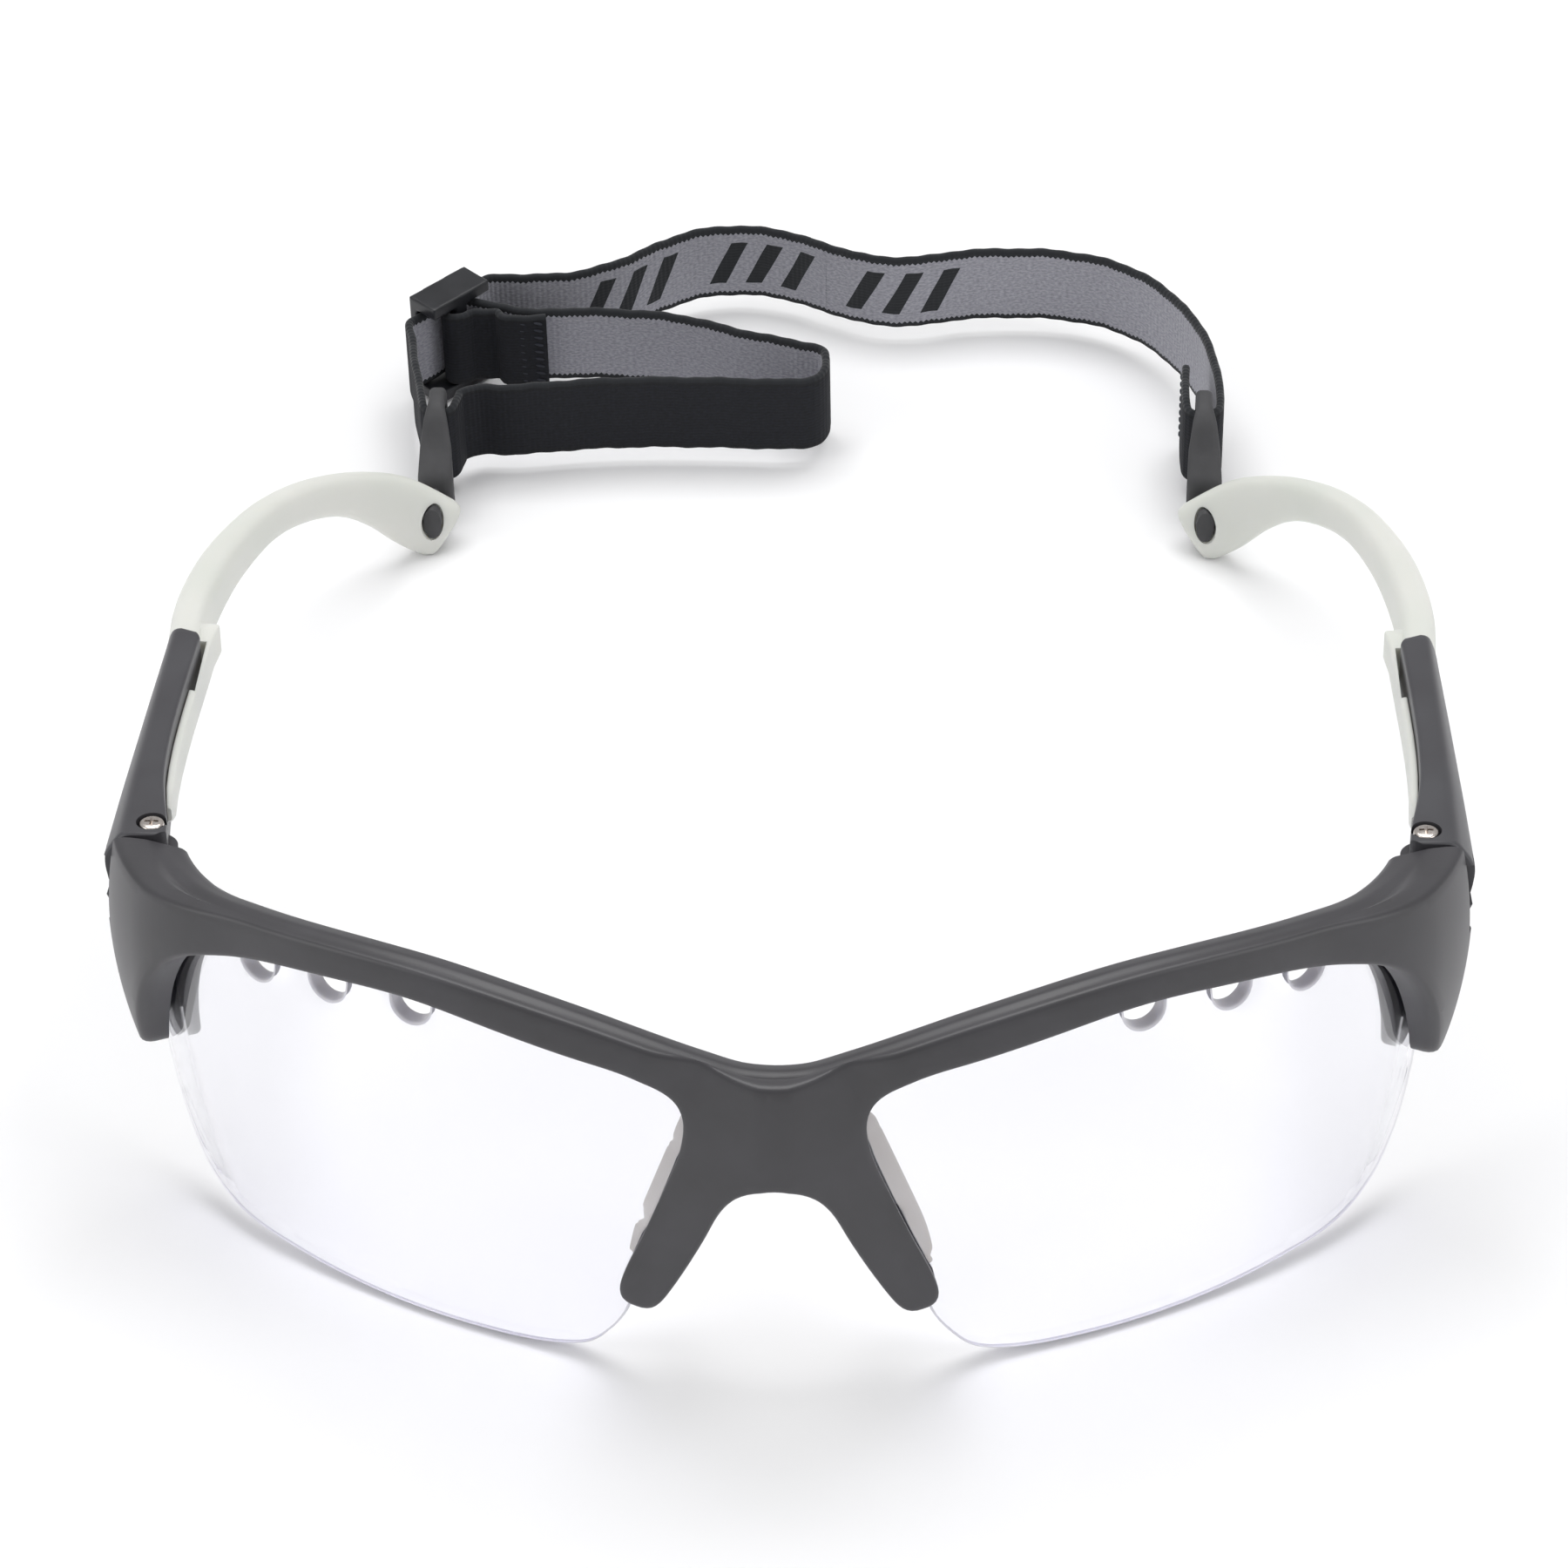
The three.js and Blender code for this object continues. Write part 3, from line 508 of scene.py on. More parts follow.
# %% Outlines of the front
BROW_TOP = [(0, -5.3), (3.5, -5), (7.1, -3.9), (20.8, 0), (34.9, 2.3), (45, 2.5), (60, 1.4), (70, 0.4),
            (79, 0), (86.5, 0)]
FINGER = [(86.5, 0), (84.6, -10), (82.8, -17), (81.6, -21.5), (80.2, -24.2), (78.8, -24.6), (77.4, -24),
          (76.4, -21.6), (74.5, -17.2), (72.9, -13.8), (71.2, -10.8), (68.9, -7.8), (65.8, -5.6), (61, -3.9)]
BROW_LOW = [(61, -3.9), (55.8, -2.7), (46.6, -1.6), (40, -1.3), (34.9, -1.7), (20.9, -4.5), (15, -5.9),
            (11.5, -7.6), (9.7, -9.7), (9.2, -12)]
NOSE_ARM_OUT = [(9.2, -12), (9.8, -15.5), (11.6, -20.5), (14.2, -27.2), (16.2, -32), (17.1, -35.2),
                (16.7, -37)]
NOSE_ARM_IN = [(16.7, -37), (14.2, -37.8), (12.9, -36.8), (11.8, -35), (9.8, -31.2), (7.6, -26.6),
               (5.2, -21.4), (3, -19.3), (0, -18.5)]
LENS_TOP = [(7.7, -11), (8.6, -7.6), (11.5, -4.9), (20.5, -2.5), (34, 0.3), (41, 0.8), (48, 0.6), (60, -1.2),
            (66, -3.3), (69.5, -6), (72.5, -9.2), (76.2, -12.6), (79.2, -17), (80.9, -22)]
LENS_LOW = [(80.9, -22), (81.6, -27.5), (80.6, -33.5), (77, -38.8), (70, -42.2), (60, -44.1), (48, -45.6),
            (36, -46.3), (26, -46.2), (21.5, -45), (18.8, -42.4), (16.6, -39), (14.7, -33), (12.7, -27.2),
            (10.1, -20.7), (8.3, -15.5), (7.7, -11)]
NOTCHES = [(38.8, -2.9), (49.0, -3.3), (58.4, -4.2)]
NOTCH_R = 2.2
LENS_FRONT, LENS_BACK = 0.4, 2.4
CORNER_PASSES = 4  # each pass rounds the outline's sharp corners a little more


def frame_loop(spacing=0.7):
    parts = [catmull(part, spacing)[:-1] for part in (BROW_TOP, FINGER, BROW_LOW, NOSE_ARM_OUT, NOSE_ARM_IN)]
    half = np.vstack((*parts, [NOSE_ARM_IN[-1]]))
    whole = np.vstack((half, half[1:-1][::-1] * (-1, 1)))
    for _ in range(CORNER_PASSES):
        whole = (np.roll(whole, 1, 0) + 2 * whole + np.roll(whole, -1, 0)) / 4
    return whole


loop = frame_loop()
top_z = np.interp(np.abs(loop[:, 0]), *np.transpose(BROW_TOP))
print(len(loop), "points round the front's outline")

# %% [markdown]
# `sculpt` is what the mould maker does after the outline: it slopes the top face down to the back, and
# cuts the bridge into a soft ridge between two facets. The facets end at a crease that runs from the
# brow down each nose arm.

# %% Sculpt the front
FACET_EDGE = [(-37.8, 15.4), (-36.4, 14.9), (-25.2, 12.1), (-18.3, 10.8), (-12, 9.3), (-3.8, 7.1), (3, 5.6)]
RIDGE, FACET_DEPTH = -1.1, 2.2


def sculpt(flat):
    flat = flat.copy()
    s, t, z = np.abs(flat[:, 0]), flat[:, 1].copy(), flat[:, 2].copy()
    from_top = np.interp(s, *np.transpose(BROW_TOP)) - z
    flat[:, 2] = z - (1 - smooth(from_top / 2.4)) * TOP_SLOPE * (t - FRAME_FRONT)
    edge = np.interp(z, *np.transpose(FACET_EDGE))
    across = np.clip((s - 1.4) / (edge - 1.4), 0, 1)
    facet = RIDGE + FACET_DEPTH * across - (RIDGE + FACET_DEPTH) * smooth((s - edge) / 6)
    flat[:, 1] = t + facet * np.clip((0.2 - t) / 1.7, 0, 1)
    return stand(bend(flat))


# %% Make the front
EDGE_R = 0.75
BEAD, GROOVE = 0.3, 0.75
on_top = smooth((loop[:, 1] - top_z + 0.6) / 0.5) * smooth((80 - np.abs(loop[:, 0])) / 12)


def edge_round(front, steps=5):
    """Profile rows that round one edge of the plate, from its flat face to its wall."""
    angle = np.linspace(0, math.pi / 2, steps)
    inset = -EDGE_R * (1 - np.sin(angle))
    rise = EDGE_R * (1 - np.cos(angle))
    return [(i, FRAME_FRONT + r) if front else (i, FRAME_BACK - r) for i, r in zip(inset, rise)]


def brow_wall(depth):
    """The bead just behind the front edge, and the groove behind the bead, only along the brow's top."""
    bead = BEAD * math.exp(-((depth + 0.75) / 0.45) ** 2)
    groove = GROOVE * math.exp(-((depth - 0.75) / 0.75) ** 2)
    return on_top * (bead - groove)


wall_depths = np.linspace(FRAME_FRONT + EDGE_R, FRAME_BACK - EDGE_R, 15)[1:-1]
profile = [(np.full(len(loop), i), d) for i, d in edge_round(True)]
profile += [(brow_wall(d), d) for d in wall_depths]
profile += [(np.full(len(loop), i), d) for i, d in reversed(edge_round(False))]
front = plate("front_moulding", loop, profile, 0.9, sculpt, NYLON)
print("front moulding:", len(front.data.polygons), "faces before the cuts")

# %% [markdown]
# ## The lenses
#
# Each lens is a clear sheet 2 mm thick, bent to the same wrap as the front, with three round vent
# notches under the brow. The notches are part of its outline, so their edges are as smooth as the rest.
# The front gets a slot 0.3 mm wider than the lens all round, because a lens snaps into its groove.

# %% Make a lens
def lens_loop(side, spacing=0.6):
    top = catmull(LENS_TOP, spacing)[:-1]
    low = catmull(LENS_LOW, spacing)[:-1]
    path = []
    for point in top:
        notch = next((n for n in NOTCHES if abs(point[0] - n[0]) < NOTCH_R), None)
        if notch is None:
            path.append(point)
        elif not path or tuple(path[-1]) != (notch[0] + NOTCH_R, notch[1]):
            turn = np.linspace(math.pi, 2 * math.pi, 15)
            arc = np.column_stack((notch[0] + NOTCH_R * np.cos(turn), notch[1] + NOTCH_R * np.sin(turn)))
            arc[-1] = (notch[0] + NOTCH_R, notch[1])
            path += list(arc)
    full = np.array([*path, *low])
    return full * (side, 1)


def plain_lens_loop(side, spacing=1.2):
    return np.vstack((catmull(LENS_TOP, spacing)[:-1], catmull(LENS_LOW, spacing)[:-1])) * (side, 1)


def wrapped(flat):
    return stand(bend(flat))


LENS_EDGE_R = 0.35


def make_lens(name, side):
    angle = np.linspace(0, math.pi / 2, 4)
    inset, rise = -LENS_EDGE_R * (1 - np.sin(angle)), LENS_EDGE_R * (1 - np.cos(angle))
    rows = [(i, LENS_FRONT + r) for i, r in zip(inset, rise)]
    rows += [(i, LENS_BACK - r) for i, r in zip(inset[::-1], rise[::-1])]
    outline = lens_loop(side)
    made = plate(f"{name}_clear", outline, rows, 2.0, wrapped, LENS_CLEAR)
    # The edge faces take the painted pale edge colour, which is painted light, not the clear lens.
    made.data.materials.append(LENS_EDGE_PAINTED_LIGHT)
    wall = np.arange(len(made.data.polygons)) < (len(rows) - 1) * len(outline)
    made.data.polygons.foreach_set("material_index", wall.astype(np.int32))
    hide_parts(name)
    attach(made, "front")
    return made


def lens_slot(side):
    rows = [(GAP, LENS_FRONT - GAP), (GAP, LENS_BACK + GAP)]
    return plate("cutter", plain_lens_loop(side), rows, 2.0, wrapped, LENS_CLEAR)


lenses = [make_lens("lens_right", 1), make_lens("lens_left", -1)]
print("lens faces:", [len(lens.data.polygons) for lens in lenses])

# %% [markdown]
# The front is cut after it is bent: first the lens slots, then the seam where each temple meets it. A
# tongue is joined on at each side, with the hole that the hinge screw turns in.

# %% Cut the slots and the hinges into the front
HINGE_X = 67.8
SEAM_Y = -2.85
EAR_TOP, EAR_LOW = -2.9, -7.9
TONGUE_R, SCREW_R, SCREW_HEAD_R = 2.6, 0.8, 1.35
UNDER_TEMPLE = -11.3

joined_or_cut(front, [lens_slot(1), lens_slot(-1)], "DIFFERENCE")
joined_or_cut(front, [block((-90, SEAM_Y, UNDER_TEMPLE), (90, 40, 10), stand)], "DIFFERENCE")
for side in (1, -1):
    at = side * HINGE_X
    low, high = EAR_LOW + GAP, EAR_TOP - GAP
    tongue = block((at - TONGUE_R, SEAM_Y - 1.6, low), (at + TONGUE_R, 0, high), stand)
    barrel = rod((at, 0), (TONGUE_R,), low, high)
    joined_or_cut(front, [tongue, barrel], "UNION")
    joined_or_cut(front, [rod((at, 0), (SCREW_R + 0.1,), low - 1, high + 1)], "DIFFERENCE")
front.data.shade_smooth()
front.data.set_sharp_from_angle(angle=math.radians(34))
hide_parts("front_frame")
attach(front, "front")
print("front:", len(front.data.polygons), "faces after the cuts")

# %% [markdown]
# ## The nose pads
#
# A strip of soft silicone lines the back of each nose arm and flares out against the nose. It is lofted
# through a few sections, and a subdivision surface rounds it as the moulded strip is rounded.

# %% Make the nose pads
PAD_STATIONS = [(-13, 4.4, 7.6), (-17, 5.2, 9), (-22, 6.8, 11), (-27.5, 9.4, 13.2), (-32, 11.6, 15),
                (-35.5, 13.6, 15.6)]
PAD_BACK, PAD_END_BACK = 9.4, 7.2


def make_nose_pad(name, side):
    base = FRAME_BACK + GAP
    rings = []
    for k, (z, inner, outer) in enumerate(PAD_STATIONS):
        reach = PAD_END_BACK if k in (0, len(PAD_STATIONS) - 1) else PAD_BACK
        section = [(inner, base), (outer, base), (outer + 1, 6), (outer + 2.4, reach - 0.6),
                   (outer + 1.6, reach), (inner + 2.6, reach), (inner + 1, 7)]
        rings.append(np.array([(side * s, t, z) for s, t in section]))
    made = loft(f"{name}_silicone", rings, PAD_GREY, wrapped)
    bevel = made.modifiers.new("edges", "BEVEL")
    bevel.width, bevel.segments, bevel.limit_method, bevel.angle_limit = 0.0005, 2, "ANGLE", math.radians(35)
    finer = made.modifiers.new("rounding", "SUBSURF")
    finer.levels = finer.render_levels = 2
    settle(made)
    made.data.shade_smooth()
    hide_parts(name)
    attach(made, "front")


make_nose_pad("nose_pad_right", 1)
make_nose_pad("nose_pad_left", -1)

# %% [markdown]
# ## The temples
#
# A temple is a flat bar with a ridge along its top, deepest at the hinge. Its section is a polygon with
# rounded corners, drawn at many stations along the bar. Its front end forks into two ears round the
# front's tongue, with a shallow seat for the screw head and a pocket below for the nut.

# %% Temple stations and sections
TEMPLE_FRONT, TEMPLE_END, TEMPLE_TURN_R = -2.45, 40.6, 2.5
TEMPLE_INNER = [(-3, 65.9), (0, 66), (4, 66.9), (10, 67.9), (18, 68.2), (26, 68.1), (41, 67.6)]
TEMPLE_RIDGE = [(-3, 70.8), (10, 71.1), (41, 70.9)]
TEMPLE_OUTER = [(-3, 73.4), (10, 73.1), (26, 72.6), (41, 72.1)]
TEMPLE_HEIGHT = [(-3, 10.7), (4, 10.2), (10, 9.6), (26, 8.4), (41, 7.6)]


def soft_along(stations, at):
    """A value read from stations, with its corners smoothed out over a few millimetres."""
    spread = np.linspace(-3, 3, 7)
    ends = stations[0][0], stations[-1][0]
    return float(np.mean(np.interp(np.clip(at + spread, *ends), *np.transpose(stations))))


def rounded_polygon(corners, radii, steps=5):
    """Points round a polygon whose corners are replaced by arcs of a quadratic curve."""
    corners = np.asarray(corners, float)
    points = []
    for k, corner in enumerate(corners):
        before, after = corners[k - 1], corners[(k + 1) % len(corners)]
        size = min(radii[k], np.linalg.norm(before - corner) * 0.45, np.linalg.norm(after - corner) * 0.45)
        start = corner + (before - corner) / np.linalg.norm(before - corner) * size
        end = corner + (after - corner) / np.linalg.norm(after - corner) * size
        for u in np.linspace(0, 1, steps):
            points.append((1 - u) ** 2 * start + 2 * u * (1 - u) * corner + u ** 2 * end)
    return np.array(points)


def temple_ring(side, y, shrink=0.0):
    inner, ridge, outer, height = (
        soft_along(s, y) for s in (TEMPLE_INNER, TEMPLE_RIDGE, TEMPLE_OUTER, TEMPLE_HEIGHT))
    corners = [(inner, 0), (ridge, 0), (outer - 0.5, -0.25 * height), (outer, -0.5 * height),
               (outer - 0.5, -0.82 * height), (ridge, -height), (inner + 0.8, -height),
               (inner, -0.9 * height)]
    section = rounded_polygon(corners, (0.5, 1.2, 3, 3, 3, 1.2, 0.5, 0.5))
    middle = section.mean(0)
    reach = np.linalg.norm(section - middle, axis=1)[:, None]
    section = middle + (section - middle) * (1 - shrink / reach)
    swept = 1.7 * np.maximum(0, (inner + 1.9 - section[:, 0]) / 1.9) ** 2 * smooth((y - TEMPLE_END + 3) / 3)
    return np.column_stack((side * section[:, 0], y - swept, section[:, 1]))

# %% Make the temples
NUT_R = 1.6


def make_temple(name, side):
    at = side * HINGE_X
    turns = np.linspace(0, 1.4, 5)
    end_round = [(TEMPLE_END - 0.5 + 0.5 * math.sin(a), 0.5 * (1 - math.cos(a))) for a in turns]
    stations = [(TEMPLE_FRONT, 0.25), (TEMPLE_FRONT + 0.1, 0.1), (TEMPLE_FRONT + 0.25, 0)]
    stations += [(y, 0) for y in np.arange(TEMPLE_FRONT + 0.8, TEMPLE_END - 1, 0.8)]
    rings = [temple_ring(side, y, shrink) for y, shrink in stations + end_round]
    made = loft(f"{name}_arm", rings, NYLON_TEMPLE, stand)
    near, far = sorted((at, side * 60))
    corner = block((near, -8, -12), (far, 0, 1), stand)
    joined_or_cut(corner, [rod((at, 0), (TEMPLE_TURN_R,), -13, 2)], "DIFFERENCE")
    slot = block((side * 70 - 10, -8, EAR_LOW), (side * 70 + 10, 0, EAR_TOP), stand)
    web = rod((at, 0), (TONGUE_R + 0.35,), EAR_LOW, EAR_TOP)
    seat = rod((at, 0), (SCREW_HEAD_R + GAP,), -1.3, 3)
    bore = rod((at, 0), (SCREW_R + GAP,), -12, 3)
    pocket = rod((at, 0), (NUT_R + GAP,), -13, -9.1, sides=6)
    joined_or_cut(made, [corner, slot, web, seat, bore, pocket], "DIFFERENCE")
    made.data.shade_smooth()
    made.data.set_sharp_from_angle(angle=math.radians(32))
    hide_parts(name)
    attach(made, name)
    print(made.name, len(made.data.polygons), "faces")


make_temple("temple_right", 1)
make_temple("temple_left", -1)

# %% [markdown]
# ## Hinge screws and nuts
#
# Each hinge turns on a small nickel-plated screw with a domed head and a cross recess, held by a brass
# nut. The screw is one turned profile; the recess is cut by two tapered blades.

# %% Make the screws and nuts
def turned(name, profile, material, at, sides=64):
    angle = np.linspace(0, 2 * math.pi, sides, endpoint=False)
    across, along = np.cos(angle), np.sin(angle)
    rings = [np.column_stack((at + r * across, r * along, np.full(sides, z))) for r, z in profile]
    return loft(name, rings, material, stand, 35)


SCREW_PROFILE = [(0.5, -10.4), (0.72, -10.35), (SCREW_R, -10.2), (SCREW_R, -1.02), (1.25, -1.0),
                 (SCREW_HEAD_R, -0.9), (SCREW_HEAD_R, -0.32), (1.31, -0.2), (1.2, -0.1), (1.0, -0.03),
                 (0.7, 0.02), (0.3, 0.05)]


def blade(at, long, wide, depth):
    """A blade of a cross recess: it narrows towards its foot."""
    rings = []
    for share, z in ((0.55, -depth), (1.15, 0.4)):
        x, y = long * share, wide * share
        rings.append(np.array([(at - x, -y, z), (at + x, -y, z), (at + x, y, z), (at - x, y, z)]))
    return loft("cutter", rings, None, stand)


def make_screw(side, end):
    at = side * HINGE_X
    centre = stand(np.array([(at, 0.0, 0.0)]))[0] / 1000
    nickel = turned_metal(f"nickel_plated_steel_{end}", ("#cfc6c0", "#ded7d2"), 0.22, 0.12, centre)
    screw = turned(f"hinge_screw_{end}_cross", SCREW_PROFILE, nickel, at)
    joined_or_cut(screw, [blade(at, 0.82, 0.17, 0.6), blade(at, 0.17, 0.82, 0.6)], "DIFFERENCE")
    screw.data.set_sharp_from_angle(angle=math.radians(35))
    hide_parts(f"hinge_screw_{end}")
    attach(screw, f"temple_{end}")
    brass = turned_metal(f"turned_brass_{end}", ("#a88648", "#b8955a"), 0.3, 0.15, centre)
    profile = [(1.42, -10.1), (NUT_R, -9.98), (NUT_R, -9.52), (1.42, -9.4)]
    nut = turned(f"hinge_nut_{end}_hexagon", profile, brass, at, sides=6)
    joined_or_cut(nut, [rod((at, 0), (SCREW_R + 0.12,), -12, -8)], "DIFFERENCE")
    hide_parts(f"hinge_nut_{end}")
    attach(nut, f"temple_{end}")


make_screw(1, "right")
make_screw(-1, "left")

# %% [markdown]
# ## Soft tips
#
# The tips are white elastomer, moulded over a tang of the temple. They curve down behind the ears, grow
# thin at the bend and swell at the end, where an oval hole takes the strap's connector. A thin liner of
# the same elastomer runs forward along the inner side of the temple.

# %% Make the tips
TIP_PATH = [(69.8, 40.9, -4.6), (70.3, 50, -5.2), (69.7, 61, -6.3), (68.3, 72, -8), (65.8, 83, -10),
            (62.4, 92.4, -12.8), (58.4, 99.6, -16), (54.2, 104.9, -20), (50.4, 108.3, -24.3),
            (47.2, 110.2, -27.3)]
TIP_WIDTH = [(0, 4.3), (0.25, 4.4), (0.55, 3.6), (0.8, 3.4), (1, 3.7)]
TIP_HEIGHT = [(0, 7.3), (0.25, 6.4), (0.55, 4.9), (0.75, 5.2), (0.93, 8.8), (1, 7.6)]
HOLE_AT = (48.8, 105.6, 5.0)
TIP_SIDES = 40


def tip_value(stations, share):
    spread = np.clip(share + np.linspace(-0.05, 0.05, 7), 0, 1)
    return float(np.mean(np.interp(spread, *np.transpose(stations))))


def tip_rings(side):
    path = catmull(np.array(TIP_PATH) * (side, 1, 1), 0.9)
    tangent = np.gradient(path, axis=0)
    tangent /= np.linalg.norm(tangent, axis=1)[:, None]
    across = np.cross((0, 0, 1), tangent)
    across /= np.linalg.norm(across, axis=1)[:, None]
    up = np.cross(tangent, across)
    angle = np.linspace(0, 2 * math.pi, TIP_SIDES, endpoint=False)
    wide = np.sign(np.cos(angle)) * np.abs(np.cos(angle)) ** 0.72
    tall = np.sign(np.sin(angle)) * np.abs(np.sin(angle)) ** 0.72
    run = np.linspace(0, 1, len(path))
    left = (1 - run) * np.sum(np.linalg.norm(np.diff(path, axis=0), axis=1))
    rings = []
    for k, share in enumerate(run):
        round_end = math.sqrt(max(1 - max(1 - left[k] / 1.6, 0) ** 2, 0.02))
        w, h = tip_value(TIP_WIDTH, share) / 2 * round_end, tip_value(TIP_HEIGHT, share) / 2
        h *= 1 - 0.55 * (1 - round_end)
        rings.append(path[k] + np.outer(w * wide, across[k]) + np.outer(h * tall, up[k]))
    return rings


def liner_rings(side):
    rings = []
    for y in (7.5, 8.2, 10, 14, 18, 22, 26, 30, 34, 38, 41.2, 44.6):
        beyond = y > TEMPLE_END
        thick = float(np.interp(y, (7.5, 10, 41.2, 44.6), (0.25, 0.6, 0.6, 1)))
        face = 69.2 if beyond else soft_along(TEMPLE_INNER, y) - 0.05
        inner = (67.3 if beyond else soft_along(TEMPLE_INNER, y) - GAP) - thick
        half = float(np.interp(y, (7.5, 9), (0.9, 2.1)))
        section = rounded_polygon([(face, -4 - half), (face, -4 + half), (inner, -4 + half - 0.2),
                                   (inner, -4 - half + 0.2)], (0.05, 0.3, 0.4, 0.4), 4)
        rings.append(np.column_stack((side * section[:, 0], np.full(len(section), y), section[:, 1])))
    return rings


def make_tip(name, side):
    made = loft(f"{name}_soft", tip_rings(side), TIP_WHITE, stand, 60)
    joined_or_cut(made, [loft("liner", liner_rings(side), None, stand)], "UNION")
    end = block((side * 71 - 3.75, 30, -12), (side * 71 + 3.75, TEMPLE_END + 0.1, 2), stand)
    joined_or_cut(made, [end], "DIFFERENCE")
    places = np.zeros(len(made.data.vertices) * 3, np.float32)
    made.data.vertices.foreach_get("co", places)
    places[2::3] = np.maximum(places[2::3], 0)
    made.data.vertices.foreach_set("co", places)
    x, y, z = HOLE_AT
    hole = rod((side * x, z), (0.95, 1.9), y - 12, y + 12, "y", shifted)
    seat = rod((side * x, z), (1.35, 2.5), y - 12, y - 0.9, "y", shifted)
    joined_or_cut(made, [hole, seat], "DIFFERENCE")
    made.data.shade_smooth()
    made.data.set_sharp_from_angle(angle=math.radians(50))
    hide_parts(name)
    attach(made, name.replace("_tip", ""))
    print(made.name, len(made.data.polygons), "faces")


make_tip("temple_tip_right", 1)
make_tip("temple_tip_left", -1)

# %% [markdown]
# ## Connectors
#
# A rubber connector hangs in each tip: an oval plug sits in the tip's hole from the front, and a flat
# body behind it widens into a window with a bar, round which the strap turns. The body is thick at the
# tip and thin at the bar, as a moulded rubber part is where it must bend.

# %% Make the connectors
BAR_X, BAR_Y = 48.8, 118.5
STRAP_LOW, STRAP_WIDE, STRAP_THICK = 2.2, 11.0, 1.0


def connector_outline():
    y, z = HOLE_AT[1:]
    rear, low, high = BAR_Y + 1, STRAP_LOW - 0.5, STRAP_LOW + STRAP_WIDE + 0.5
    corners = [(y + 2.9, z - 3), (rear - 9, low - 0.8), (rear - 5.5, low - 1.6), (rear - 1, low - 1.6),
               (rear, low - 0.6), (rear, high + 0.6), (rear - 1, high + 1.6), (rear - 4.5, high + 1.6),
               (rear - 6.2, high + 0.4), (rear - 8, 10.8), (y + 2.9, z + 3)]
    rounded = rounded_polygon(corners, [0.9] * len(corners))
    return catmull(rounded, 0.4, closed=True)


def make_connector(name, side):
    def shape(flat):
        half = np.interp(flat[:, 0], (108, 112, 115.3), (2.3, 2.0, 1.05))
        return shifted(np.column_stack((side * BAR_X + flat[:, 1] * half, flat[:, 0], flat[:, 2])))

    rows = [(-0.6, -1), (-0.35, -0.94), (-0.12, -0.75), (0, -0.45), (0, 0.45), (-0.12, 0.75),
            (-0.35, 0.94), (-0.6, 1)]
    made = plate(f"{name}_rubber", connector_outline(), rows, 0.8, shape, RUBBER)
    x, y, z = side * HOLE_AT[0], *HOLE_AT[1:]
    rear, low, high = BAR_Y + 1, STRAP_LOW - 0.5, STRAP_LOW + STRAP_WIDE + 0.5
    neck = rod((x, z), (0.7, 1.65), y - 1.6, y + 4, "y", shifted)
    head = rod((x, z), (1.15, 2.25), y - 2.6, y - 1.2, "y", shifted)
    joined_or_cut(made, [neck, head], "UNION")
    window = block((x - 5, rear - 4.8, low), (x + 5, rear - 2, high), shifted)
    joined_or_cut(made, [window], "DIFFERENCE")
    rounding = made.modifiers.new("edges", "BEVEL")
    rounding.width, rounding.segments, rounding.limit_method = 0.0002, 2, "ANGLE"
    rounding.angle_limit = math.radians(50)
    settle(made)
    made.data.shade_smooth()
    made.data.set_sharp_from_angle(angle=math.radians(50))
    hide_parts(name)
    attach(made, name.replace("strap_connector", "temple"))
    print(made.name, len(made.data.polygons), "faces")


make_connector("strap_connector_right", 1)
make_connector("strap_connector_left", -1)

# %% [markdown]
# ## The slider
#
# The slider is a small frame moulded in acetal, with a bar in the middle that the strap weaves round. Its
# bars are rolled, with no sharp corner anywhere that could cut the knit. Boxes are joined, rebuilt as an
# even skin and then smoothed, which rolls every corner as the mould does.

# %% Make the slider
SLIDER_AT = np.array((-49.7, 141.2))
SLIDER_DIR = np.array((-0.68, -0.733)) / math.hypot(0.68, 0.733)
SLIDER_IN = np.array((-SLIDER_DIR[1], SLIDER_DIR[0]))


def at_slider(along, inward):
    return tuple(SLIDER_AT + along * SLIDER_DIR + inward * SLIDER_IN)


def from_slider(points):
    places = SLIDER_AT + points[:, :1] * SLIDER_DIR + points[:, 1:2] * SLIDER_IN
    return shifted(np.column_stack((places, points[:, 2])))


slider = block((-4.9, -1.8, 0.15), (4.9, 3.1, 1.85), from_slider)
bars = [((-4.9, -1.8, 13.55), (4.9, 3.1, 15.25)), ((-4.9, -1.8, 0.6), (-3.5, -0.4, 14.8)),
        ((3.5, -1.8, 0.6), (4.9, -0.4, 14.8)), ((-1, 1.8, 0.6), (1, 3.1, 14.8))]
joined_or_cut(slider, [block(low, high, from_slider) for low, high in bars], "UNION")
slider.name = "slider_moulding"
skin = slider.modifiers.new("skin", "REMESH")
skin.mode, skin.voxel_size = "VOXEL", 0.0002
roll = slider.modifiers.new("roll", "SMOOTH")
roll.factor, roll.iterations = 0.5, 9
settle(slider)
slider.data.materials.clear()
slider.data.materials.append(ACETAL)
slider.data.shade_smooth()
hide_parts("strap_slider")
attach(slider, "slider")
print("slider:", len(slider.data.polygons), "faces")

# %% [markdown]
# ## Knitted elastic
#
# **Knitted elastic webbing.** The strap is double-faced: grey melange inside and navy outside, with a
# black selvedge 1 mm wide whose inner edge is jagged, because whole stitches change colour. The ribs run
# across the strap every 0.7 mm, and the courses along it every 0.45 mm. The knitted-in pattern of the
# back run is a plain row of slanted bars. Both coordinates are millimetres of webbing, so the knit keeps
# its size where the strap bends. The seams are sewn with dark polyester thread, which is matt.

